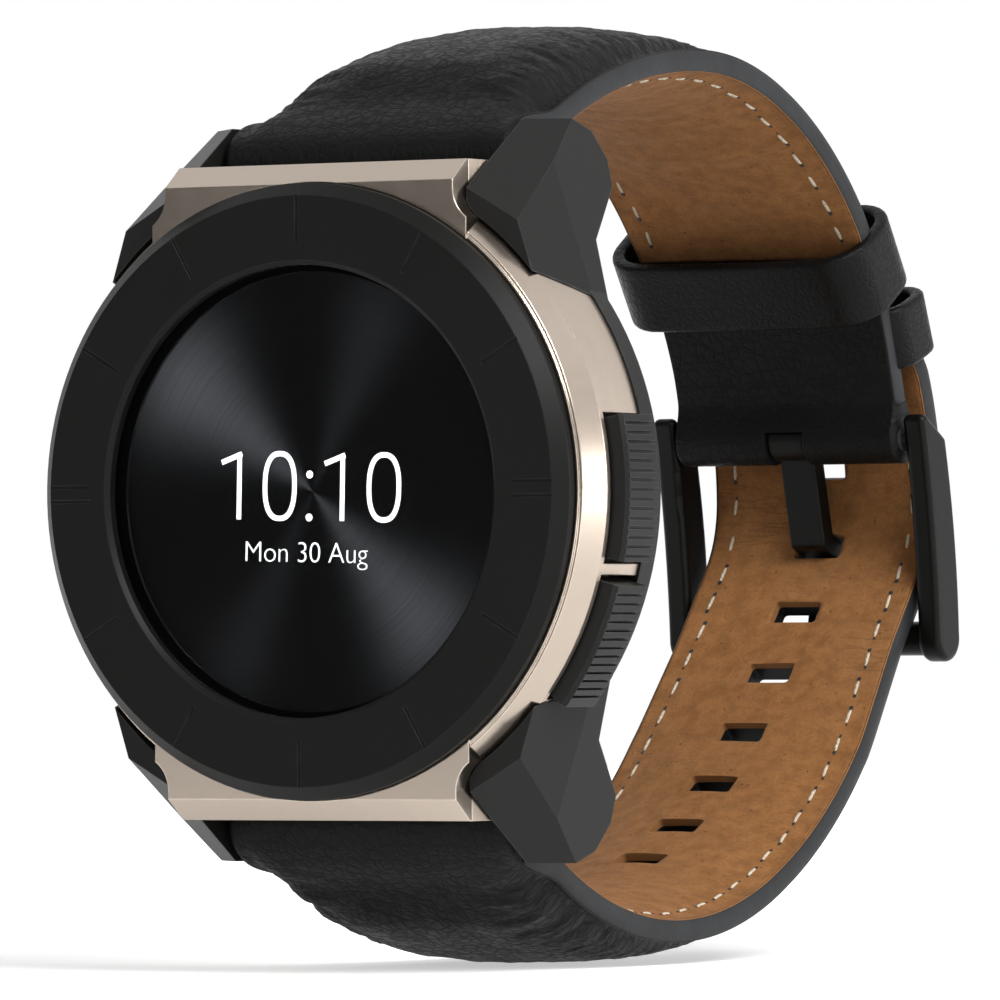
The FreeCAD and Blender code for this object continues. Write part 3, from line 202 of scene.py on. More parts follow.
class Nodes:
    """Adds shader nodes to one tree and links them."""

    def __init__(self, tree):
        self.tree = tree

    def add(self, kind, inputs=None, **settings):
        node = self.tree.nodes.new(kind)
        for key, value in settings.items():
            setattr(node, key, value)
        for key, value in (inputs or {}).items():
            self.feed(node.inputs[key], value)
        return node

    def feed(self, socket, value):
        if isinstance(value, bpy.types.NodeSocket):
            self.tree.links.new(value, socket)
        else:
            socket.default_value = value

    def math(self, operation, first, second=0.0):
        node = self.add("ShaderNodeMath", operation=operation)
        self.feed(node.inputs[0], first)
        self.feed(node.inputs[1], second)
        return node.outputs[0]

    def times(self, first, second):
        return self.math("MULTIPLY", first, second)

    def plus(self, first, second):
        return self.math("ADD", first, second)

    def minus(self, first, second):
        return self.math("SUBTRACT", first, second)

    def reach(self, x, z):
        """Distance from the y axis."""
        return self.math("SQRT", self.plus(self.times(x, x), self.times(z, z)))

    def surface(self, shader, color, roughness, normal):
        self.feed(shader.inputs["Base Color"], color)
        self.feed(shader.inputs["Roughness"], roughness)
        self.feed(shader.inputs["Normal"], normal)

    def scale(self, vector, factors):
        node = self.add("ShaderNodeVectorMath", operation="MULTIPLY")
        self.feed(node.inputs[0], vector)
        node.inputs[1].default_value = factors
        return node.outputs[0]

    def remap(self, value, start, end, low_value=0.0, high_value=1.0, smooth=True):
        node = self.add("ShaderNodeMapRange", interpolation_type="SMOOTHSTEP" if smooth else "LINEAR")
        self.feed(node.inputs["Value"], value)
        node.inputs["From Min"].default_value = start
        node.inputs["From Max"].default_value = end
        self.feed(node.inputs["To Min"], low_value)
        self.feed(node.inputs["To Max"], high_value)
        return node.outputs["Result"]

    def mix(self, factor, first, second):
        node = self.add("ShaderNodeMix", data_type="RGBA")
        self.feed(node.inputs[0], factor)
        self.feed(node.inputs[6], first)
        self.feed(node.inputs[7], second)
        return node.outputs[2]

    def noise(self, vector, scale, detail=3.0, roughness=0.55):
        node = self.add("ShaderNodeTexNoise")
        self.feed(node.inputs["Vector"], vector)
        self.feed(node.inputs["Scale"], scale)
        node.inputs["Detail"].default_value = detail
        node.inputs["Roughness"].default_value = roughness
        return node.outputs["Fac"]

    def cells(self, vector, scale, feature="DISTANCE_TO_EDGE"):
        node = self.add("ShaderNodeTexVoronoi", feature=feature)
        self.feed(node.inputs["Vector"], vector)
        self.feed(node.inputs["Scale"], scale)
        return node.outputs["Distance"]

    def bump(self, height, distance, normal=None):
        node = self.add("ShaderNodeBump")
        self.feed(node.inputs["Height"], height)
        node.inputs["Distance"].default_value = distance
        if normal:
            self.feed(node.inputs["Normal"], normal)
        return node.outputs["Normal"]

    def split(self, vector):
        node = self.add("ShaderNodeSeparateXYZ")
        self.feed(node.inputs[0], vector)
        return node.outputs


def new_group(name, inputs, outputs):
    """A shader node group with named sockets, and its inner nodes."""
    tree = bpy.data.node_groups.new(name, "ShaderNodeTree")
    for word, kind, value in inputs:
        socket = tree.interface.new_socket(word, in_out="INPUT", socket_type=kind)
        if value is not None:
            socket.default_value = value
    for word, kind in outputs:
        tree.interface.new_socket(word, in_out="OUTPUT", socket_type=kind)
    nodes = Nodes(tree)
    return tree, nodes, nodes.add("NodeGroupInput").outputs, nodes.add("NodeGroupOutput").inputs


FLOAT = "NodeSocketFloat"
COLOR = "NodeSocketColor"
VECTOR = "NodeSocketVector"


def edge_wear_and_highlight_group():
    """Rounds hard edges in the shading and turns them to another, lighter colour: a painted edge highlight,
    broken up by noise like rubbed wear.
    """
    name = "Edge Wear"
    if name in bpy.data.node_groups:
        return bpy.data.node_groups[name]
    tree, nodes, given, result = new_group(
        name,
        [("Color", COLOR, None), ("Worn Color", COLOR, None),
         ("Radius", FLOAT, 0.0001), ("Wear", FLOAT, 0.5)],
        [("Color", COLOR), ("Normal", VECTOR), ("Mask", FLOAT)])
    bevel = nodes.add("ShaderNodeBevel", {"Radius": given["Radius"]}, samples=6)
    geometry = nodes.add("ShaderNodeNewGeometry")
    dot = nodes.add("ShaderNodeVectorMath", operation="DOT_PRODUCT")
    nodes.feed(dot.inputs[0], bevel.outputs["Normal"])
    nodes.feed(dot.inputs[1], geometry.outputs["Normal"])
    turned = nodes.minus(1.0, dot.outputs["Value"])
    place = nodes.add("ShaderNodeTexCoord").outputs["Object"]
    broken = nodes.remap(nodes.noise(place, 700.0), 0.35, 0.7, 0.35, 1.0)
    # The rim mask paints a highlight along the edges, mixed with rubbed wear; Wear sets how strong it is.
    mask = nodes.times(nodes.remap(turned, 0.015, 0.16), broken)
    mask = nodes.times(mask, given["Wear"])
    nodes.feed(result["Color"], nodes.mix(mask, given["Color"], given["Worn Color"]))
    nodes.feed(result["Normal"], bevel.outputs["Normal"])
    nodes.feed(result["Mask"], mask)
    return tree


def smudge_group():
    """Slow and fine unevenness of a handled surface."""
    name = "Handling"
    if name in bpy.data.node_groups:
        return bpy.data.node_groups[name]
    tree, nodes, given, result = new_group(
        name, [("Color", COLOR, None), ("Roughness", FLOAT, 0.4), ("Amount", FLOAT, 0.1)],
        [("Color", COLOR), ("Roughness", FLOAT)])
    place = nodes.add("ShaderNodeTexCoord").outputs["Object"]
    slow = nodes.noise(place, 90.0, 4.0)
    fine = nodes.noise(place, 1500.0, 2.0)
    both = nodes.plus(nodes.times(slow, 0.7), nodes.times(fine, 0.3))
    swing = nodes.times(nodes.minus(both, 0.5), given["Amount"])
    nodes.feed(result["Roughness"], nodes.plus(given["Roughness"], nodes.times(swing, 1.6)))
    bright = nodes.plus(1.0, nodes.times(swing, 2.0))
    tone = nodes.add("ShaderNodeVectorMath", operation="SCALE")
    nodes.feed(tone.inputs[0], given["Color"])
    nodes.feed(tone.inputs["Scale"], bright)
    nodes.feed(result["Color"], tone.outputs["Vector"])
    return tree


def leather_group():
    """Pebbled leather: cells with fine pores and shallow creases, as a height and a crease mask."""
    name = "Leather Grain"
    if name in bpy.data.node_groups:
        return bpy.data.node_groups[name]
    tree, nodes, given, result = new_group(
        name, [("Vector", VECTOR, None), ("Scale", FLOAT, 1300.0), ("Crease", FLOAT, 0.5)],
        [("Height", FLOAT), ("Crease", FLOAT), ("Tone", FLOAT)])
    warp = nodes.add("ShaderNodeTexNoise", {"Vector": given["Vector"], "Scale": 420.0, "Detail": 2.0})
    swirl = nodes.add("ShaderNodeVectorMath", operation="MULTIPLY_ADD")
    nodes.feed(swirl.inputs[0], warp.outputs["Color"])
    swirl.inputs[1].default_value = (0.0007, 0.0007, 0.0007)
    nodes.feed(swirl.inputs[2], given["Vector"])
    place = swirl.outputs["Vector"]
    pebble = nodes.remap(nodes.cells(place, given["Scale"]), 0.0, 0.22)
    small = nodes.remap(nodes.cells(place, nodes.times(given["Scale"], 2.3)), 0.0, 0.3)
    pores = nodes.noise(place, 5200.0, 2.0)
    long_lines = nodes.noise(nodes.scale(place, (160.0, 700.0, 300.0)), 1.0, 3.0, 0.6)
    lines = nodes.math("ABSOLUTE", nodes.minus(long_lines, 0.5))
    crease = nodes.remap(lines, 0.0, 0.035, 1.0, 0.0)
    crease = nodes.times(crease, given["Crease"])
    height = nodes.plus(nodes.times(pebble, 0.5), nodes.times(small, 0.22))
    height = nodes.plus(height, nodes.times(pores, 0.16))
    nodes.feed(result["Height"], nodes.minus(height, nodes.times(crease, 0.55)))
    nodes.feed(result["Crease"], crease)
    nodes.feed(result["Tone"], nodes.noise(place, 60.0, 3.0))
    return tree


def brushed_group():
    """Fine parallel scratches that run along the stretched axis of the given vector."""
    name = "Brushed"
    if name in bpy.data.node_groups:
        return bpy.data.node_groups[name]
    tree, nodes, given, result = new_group(
        name, [("Vector", VECTOR, None), ("Strength", FLOAT, 1.0)], [("Height", FLOAT), ("Tone", FLOAT)])
    fine = nodes.noise(given["Vector"], 1.0, 5.0, 0.7)
    broad = nodes.noise(given["Vector"], 0.35, 2.0, 0.5)
    nodes.feed(result["Height"], nodes.times(fine, given["Strength"]))
    nodes.feed(result["Tone"], nodes.plus(nodes.times(fine, 0.5),
                                          nodes.times(broad, 0.5)))
    return tree


def new_material(name):
    """An empty node material: its nodes, its Principled shader and object coordinates."""
    material = bpy.data.materials.new(name)
    material.use_nodes = True
    nodes = Nodes(material.node_tree)
    shader = material.node_tree.nodes["Principled BSDF"]
    place = nodes.add("ShaderNodeTexCoord").outputs["Object"]
    return material, nodes, shader, place


def grouped(nodes, tree, **values):
    """Place a node group and fill its inputs; spaces in names are written as underscores."""
    node = nodes.add("ShaderNodeGroup", node_tree=tree)
    for key, value in values.items():
        nodes.feed(node.inputs[key.replace("_", " ")], value)
    return node.outputs


# ---------------------------------------------------------------- materials

def satin_metal(name, color, roughness, wear_and_highlight, radius, wear=0.6, metallic=0.0, specular=0.13):
    """Painted or coated metal with softened edges, lighter along the rims: a painted edge highlight mixed
    with rubbed wear.
    """
    material, nodes, shader, place = new_material(name)
    edge = grouped(nodes, edge_wear_and_highlight_group(), Color=color, Worn_Color=wear_and_highlight, Radius=radius, Wear=wear)
    hand = grouped(nodes, smudge_group(), Color=edge["Color"], Roughness=roughness, Amount=0.12)
    fine = nodes.noise(place, 9000.0, 2.0)
    nodes.surface(shader, hand["Color"], hand["Roughness"],
                  nodes.bump(fine, 0.000004, edge["Normal"]))
    shader.inputs["Metallic"].default_value = metallic
    shader.inputs["Specular IOR Level"].default_value = specular
    return material


def case_metal(settings):
    """Champagne metal: brushed round the side, polished on the chamfer and the lip."""
    material, nodes, shader, place = new_material("champagne_metal")
    x, y, z = nodes.split(place)
    angle = nodes.math("ARCTAN2", z, x)
    radius = nodes.reach(x, z)
    round_vector = nodes.add("ShaderNodeCombineXYZ")
    nodes.feed(round_vector.inputs[0], nodes.times(angle, 9.0))
    nodes.feed(round_vector.inputs[1], nodes.times(y, 9000.0))
    nodes.feed(round_vector.inputs[2], nodes.times(radius, 9000.0))
    grain = grouped(nodes, brushed_group(), Vector=round_vector.outputs[0], Strength=1.0)
    band_end = DIAL_FRONT + 3.62 * MM
    brushed = nodes.remap(y, band_end - 0.03 * MM, band_end + 0.03 * MM)
    bead = nodes.noise(place, 5200.0, 2.0)
    rough = nodes.remap(grain["Tone"], 0.2, 0.8, 0.34, 0.48)
    # Lighter rims: painted edge highlight mixed with rubbed wear.
    edge = grouped(nodes, edge_wear_and_highlight_group(), Color=settings.case_color, Worn_Color=(0.82, 0.74, 0.65, 1.0),
                   Radius=settings.edge_radius, Wear=0.8)
    tone = grouped(nodes, smudge_group(), Color=edge["Color"], Roughness=0.2, Amount=0.07)
    nodes.feed(shader.inputs["Base Color"], tone["Color"])
    nodes.feed(shader.inputs["Roughness"], nodes.remap(brushed, 0.0, 1.0, tone["Roughness"], rough))
    nodes.feed(shader.inputs["Metallic"], nodes.remap(bead, 0.0, 1.0, 0.97, 1.0))
    height = nodes.times(nodes.plus(grain["Height"], bead), brushed)
    nodes.feed(shader.inputs["Normal"], nodes.bump(height, 0.000009, edge["Normal"]))
    return material


def strap_place(nodes):
    """The strap's own coordinates: across and along the leather, in metres."""
    return nodes.add("ShaderNodeUVMap", uv_map="Along").outputs["UV"]


def black_leather(name, settings, scale=1250.0, crease=0.6, on_strap=True, depth=0.00004, gloss=0.46):
    material, nodes, shader, place = new_material(name)
    vector = strap_place(nodes) if on_strap else place
    grain = grouped(nodes, leather_group(), Vector=vector, Scale=scale, Crease=crease)
    color = nodes.mix(nodes.remap(grain["Tone"], 0.3, 0.7), settings.leather_color, grey(0.007))
    # The creases are darkened in the colour: painted shade in the folds.
    color = nodes.mix(nodes.times(grain["Crease"], 0.7), color, grey(0.004))
    hand = grouped(nodes, smudge_group(), Color=color, Roughness=gloss, Amount=0.3)
    rough = nodes.plus(hand["Roughness"], nodes.remap(grain["Height"], 0.1, 0.8, 0.12, -0.05))
    nodes.surface(shader, hand["Color"], rough, nodes.bump(grain["Height"], depth))
    shader.inputs["Specular IOR Level"].default_value = 0.09
    return material


def nubuck_lining(settings):
    """Buffed leather: mottled, short-haired, with cross creases along the bend, darkened as painted shade."""
    material, nodes, shader, place = new_material("brown_lining")
    vector = strap_place(nodes)
    mottle = nodes.noise(vector, 700.0, 5.0, 0.68)
    cloud = nodes.noise(vector, 90.0, 3.0, 0.55)
    fibre = nodes.noise(vector, 4200.0, 4.0, 0.75)
    folds = nodes.noise(nodes.scale(vector, (130.0, 760.0, 300.0)), 1.0, 3.0, 0.5)
    fold_line = nodes.remap(nodes.math("ABSOLUTE", nodes.minus(folds, 0.5)), 0.0, 0.035, 1.0, 0.0)
    fold_line = nodes.times(fold_line, nodes.remap(cloud, 0.5, 0.68))
    specks = nodes.remap(nodes.cells(vector, 1500.0, "F1"), 0.05, 0.22, 1.0, 0.0)
    pores = nodes.times(specks, nodes.remap(nodes.noise(vector, 900.0), 0.48, 0.6))
    color = nodes.mix(nodes.remap(mottle, 0.3, 0.7), (0.205, 0.088, 0.026, 1.0), settings.lining_color)
    color = nodes.mix(nodes.remap(cloud, 0.4, 0.75, 0.0, 0.3), color, (0.38, 0.190, 0.078, 1.0))
    color = nodes.mix(nodes.remap(fibre, 0.35, 0.7, 0.0, 0.45), color, (0.17, 0.072, 0.026, 1.0))
    # The fold lines are darkened in the colour as painted shade; the pores darken as part of the grain.
    dark = nodes.math("MAXIMUM", nodes.times(fold_line, 0.22), nodes.times(pores, 0.6))
    color = nodes.mix(dark, color, (0.060, 0.025, 0.010, 1.0))
    height = nodes.plus(nodes.times(fibre, 0.5), nodes.times(mottle, 0.5))
    height = nodes.minus(height, nodes.times(fold_line, 0.5))
    height = nodes.minus(height, nodes.times(pores, 0.5))
    nodes.surface(shader, color, nodes.remap(fibre, 0.2, 0.8, 0.72, 0.9),
                  nodes.bump(height, 0.00008))
    shader.inputs["Specular IOR Level"].default_value = 0.15
    shader.inputs["Sheen Weight"].default_value = 0.04
    shader.inputs["Sheen Roughness"].default_value = 0.5
    return material


def edge_paint(settings):
    """Slate edge paint: smooth lacquer with faint brush marks along the edge."""
    material, nodes, shader, place = new_material("edge_paint")
    vector = strap_place(nodes)
    drag = nodes.noise(nodes.scale(vector, (9000.0, 500.0, 900.0)), 1.0, 3.0)
    slow = nodes.noise(place, 260.0, 3.0)
    color = nodes.mix(nodes.remap(slow, 0.3, 0.7), settings.edge_color, (0.018, 0.019, 0.0205, 1.0))
    hand = grouped(nodes, smudge_group(), Color=color, Roughness=0.55, Amount=0.2)
    nodes.feed(shader.inputs["Base Color"], hand["Color"])
    nodes.feed(shader.inputs["Roughness"], hand["Roughness"])
    height = nodes.plus(nodes.times(drag, 0.3), slow)
    nodes.feed(shader.inputs["Normal"], nodes.bump(height, 0.00007))
    shader.inputs["Specular IOR Level"].default_value = 0.18
    return material


def thread(name, color):
    """Waxed twisted thread."""
    material, nodes, shader, place = new_material(name)
    twist = nodes.add("ShaderNodeTexWave", {"Scale": 900.0, "Distortion": 3.0}, bands_direction="DIAGONAL")
    nodes.feed(twist.inputs["Vector"], place)
    fibre = nodes.noise(place, 6000.0, 3.0)
    shade = tuple(value * 0.62 for value in color[:3]) + (1.0,)
    nodes.feed(shader.inputs["Base Color"], nodes.mix(nodes.remap(fibre, 0.3, 0.75), shade, color))
    nodes.feed(shader.inputs["Roughness"], nodes.remap(fibre, 0.2, 0.8, 0.55, 0.75))
    height = nodes.plus(twist.outputs["Fac"], nodes.times(fibre, 0.5))
    nodes.feed(shader.inputs["Normal"], nodes.bump(height, 0.00005))
    return material


def dial_panel():
    """Black panel with a painted reflection: a soft turned sheen with two bright fans, in the emission and
    base colour.
    """
    material, nodes, shader, place = new_material("display")
    x, y, z = nodes.split(place)
    angle = nodes.math("ARCTAN2", z, x)
    radius = nodes.reach(x, z)
    reach = nodes.remap(radius, 0.0, 15.5 * MM, 0.0, 1.0, smooth=False)
    painted_reflection = None
    for heading, width, strength in PAINTED_REFLECTION_FANS:
        turned = nodes.minus(angle, math.radians(heading))
        aligned = nodes.math("MAXIMUM", nodes.math("COSINE", turned), 0.0)
        sharp = 60.0 / math.radians(width) ** 2 / 10.0
        reflection_fan = nodes.times(nodes.math("POWER", aligned, sharp), strength)
        painted_reflection = reflection_fan if painted_reflection is None else nodes.plus(painted_reflection, reflection_fan)
    ring_vector = nodes.add("ShaderNodeCombineXYZ")
    nodes.feed(ring_vector.inputs[0], nodes.times(radius, 5200.0))
    nodes.feed(ring_vector.inputs[1], nodes.times(angle, 0.35))
    rings = nodes.noise(ring_vector.outputs[0], 1.0, 4.0, 0.7)
    fall = nodes.remap(reach, 0.05, 1.0, 0.62, 1.0)
    edge = nodes.remap(reach, 0.8, 1.0, 1.0, 0.62)
    level = nodes.times(nodes.times(painted_reflection, fall), edge)
    level = nodes.times(level, nodes.remap(rings, 0.25, 0.75, 0.82, 1.12))
    # The painted reflection lightens the emission colour and the base colour.
    color = nodes.mix(level, (0.0006, 0.0006, 0.0007, 1.0), (0.070, 0.074, 0.080, 1.0))
    nodes.feed(shader.inputs["Base Color"], nodes.mix(level, grey(0.001), (0.01, 0.01, 0.011, 1.0)))
    nodes.feed(shader.inputs["Emission Color"], color)
    shader.inputs["Emission Strength"].default_value = 1.0
    nodes.feed(shader.inputs["Roughness"], nodes.remap(rings, 0.2, 0.8, 0.28, 0.36))
    shader.inputs["Specular IOR Level"].default_value = 0.03
    return material


def lit_digits(settings):
    """Plain white light, a touch uneven from cell to cell."""
    material, nodes, shader, place = new_material("lit_digits")
    grid = nodes.noise(place, 12000.0, 1.0)
    nodes.feed(shader.inputs["Emission Color"],
               nodes.mix(nodes.remap(grid, 0.3, 0.7), (0.93, 0.94, 0.95, 1.0), grey(1.0)))
    shader.inputs["Emission Strength"].default_value = settings.light
    nodes.feed(shader.inputs["Base Color"], nodes.mix(grid, grey(0.8), grey(0.9)))
    shader.inputs["Roughness"].default_value = 0.5
    return material


def clear_glass():
    """Coated cover glass with faint wiping marks."""
    material, nodes, shader, place = new_material("cover_glass")
    wipe = nodes.noise(nodes.scale(place, (60.0, 400.0, 160.0)), 1.0, 3.0)
    nodes.feed(shader.inputs["Base Color"], nodes.mix(wipe, (0.93, 0.95, 0.96, 1.0), (0.97, 0.98, 0.99, 1.0)))
    nodes.feed(shader.inputs["Roughness"], nodes.remap(wipe, 0.3, 0.7, 0.015, 0.035))
    shader.inputs["Transmission Weight"].default_value = 1.0
    shader.inputs["IOR"].default_value = 1.3
    return material


def moulded(name, color, roughness=0.55, grain=2600.0, depth=0.00001):
    """Moulded plastic or rubber with a fine spark-eroded texture."""
    material, nodes, shader, place = new_material(name)
    hand = grouped(nodes, smudge_group(), Color=color, Roughness=roughness, Amount=0.15)
    fine = nodes.noise(place, grain, 3.0, 0.6)
    nodes.surface(shader, hand["Color"], hand["Roughness"], nodes.bump(fine, depth))
    return material


def circuit_board():
    """Green solder mask over faint copper runs."""
    material, nodes, shader, place = new_material("circuit_board")
    tracks = nodes.add("ShaderNodeTexBrick", {"Scale": 420.0, "Mortar Size": 0.05})
    x, y, z = nodes.split(place)
    flat = nodes.add("ShaderNodeCombineXYZ", {0: x, 1: z})
    nodes.feed(tracks.inputs["Vector"], flat.outputs[0])
    nodes.feed(shader.inputs["Base Color"],
               nodes.mix(tracks.outputs["Fac"], (0.006, 0.045, 0.02, 1.0), (0.02, 0.11, 0.05, 1.0)))
    nodes.feed(shader.inputs["Roughness"], nodes.remap(nodes.noise(place, 900.0), 0.2, 0.8, 0.3, 0.42))
    nodes.feed(shader.inputs["Normal"], nodes.bump(tracks.outputs["Fac"], 0.00002))
    return material


def wear(node, material):
    """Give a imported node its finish."""
    thing = frame["nodes"][node]
    thing.data.materials.clear()
    thing.data.materials.append(material)


# ---------------------------------------------------------------- the strap's route

class Route:
    """The inner face of one strap half in the plane across X: arcs and a straight run, in metres."""

    def __init__(self, side):
        self.side = side
        self.runs = []

    def arc(self, hub, radius, start, end):
        """An arc from a larger to a smaller angle, in radians."""
        self.runs.append(("arc", (start - end) * radius, hub, radius, start))

    def line(self, start, heading, length):
        self.runs.append(("line", length, start, heading, 0.0))

    def length(self):
        return sum(run[1] for run in self.runs)

    def locate(self, distance):
        for index, run in enumerate(self.runs):
            if distance <= run[1] or index == len(self.runs) - 1:
                return run, distance
            distance -= run[1]

    def facing(self, distance):
        """The angle of the leather's outward normal, before the lower half is mirrored."""
        (kind, length, origin, size, start), rest = self.locate(distance)
        return size + math.pi / 2 if kind == "line" else start - rest / size

    def spot(self, distance, offset=0.0, across=0.0):
        (kind, length, origin, size, start), rest = self.locate(distance)
        angle = self.facing(distance)
        if kind == "line":
            y = origin[0] + rest * math.cos(size) + offset * math.cos(angle)
            z = origin[1] + rest * math.sin(size) + offset * math.sin(angle)
        else:
            y = origin[0] + (size + offset) * math.cos(angle)
            z = origin[1] + (size + offset) * math.sin(angle)
        return Vector((across, y, z * self.side))

    def outward(self, distance):
        angle = self.facing(distance)
        return Vector((0.0, math.cos(angle), math.sin(angle) * self.side))

    def along(self, distance):
        angle = self.facing(distance)
        return Vector((0.0, math.sin(angle), -math.cos(angle) * self.side))

    def find(self, reach, offset=0.0):
        """The distance on the rear where the route passes a height above the middle, by halving."""
        near, far = self.runs[0][1], self.length()
        for _ in range(40):
            middle = (near + far) / 2
            if self.spot(middle, offset).z * self.side > reach:
                near = middle
            else:
                far = middle
        return (near + far) / 2


def short_route(settings):
    """From the 12 o'clock bar over the arch and down the back to the buckle."""
    route = Route(1)
    arch = settings.arch_radius
    first = math.pi / 2 + math.asin((LOOP_CENTRE.y - LUG_BAR.y) / arch)
    route.arc((LOOP_CENTRE.y, LOOP_RADIUS - arch), arch, first, math.pi / 2)
    route.arc((LOOP_CENTRE.y, 0.0), LOOP_RADIUS, math.pi / 2, math.radians(-10))
    return route


def long_route(settings):
    """From the 6 o'clock bar down the back, straight across, and up outside the short half."""
    route = Route(-1)
    arch, wide, bulge, tail = (settings.arch_radius, settings.long_radius, settings.bulge_radius,
                               settings.tail_radius)
    run, reach = LOOP_CENTRE.y - LUG_BAR.y, settings.lowest - LUG_BAR.y
    drop = arch - math.sqrt(arch ** 2 - run ** 2)
    front = (reach ** 2 + drop ** 2) / (2 * drop)
    start = math.pi / 2 + math.asin(reach / front)
    route.arc((settings.lowest, LOOP_RADIUS - front), front, start, math.pi / 2)
    leave = math.pi / 2 - settings.leave_angle
    outward = Vector((math.cos(leave), math.sin(leave)))
    travel = Vector((outward.y, -outward.x))
    hub = Vector((settings.lowest, LOOP_RADIUS - wide))
    route.arc(hub, wide, math.pi / 2, leave)
    start = hub + outward * wide
    route.line(start, -settings.leave_angle, settings.run_length)
    pivot = start + travel * settings.run_length - outward * bulge
    route.arc(pivot, bulge, leave, 0.0)
    route.arc(pivot + Vector((bulge - tail, 0.0)), tail, 0.0, math.radians(-60))
    return route


def smooth(value, start, end):
    """Smooth step from 0 to 1 between two values."""
    ratio = min(max((value - start) / (end - start), 0.0), 1.0)
    return ratio * ratio * (3.0 - 2.0 * ratio)


def circle_through(first, middle, last):
    """Centre and radius of the circle through three points of the (y, z) plane."""
    a, b, c = (Vector((point.y, point.z)) for point in (first, middle, last))
    double = 2.0 * ((b - a).x * (c - a).y - (b - a).y * (c - a).x)
    one, two = (b - a).dot(b - a), (c - a).dot(c - a)
    hub = a + Vector(((c - a).y * one - (b - a).y * two, (b - a).x * two - (c - a).x * one)) / double
    return hub, (a - hub).length


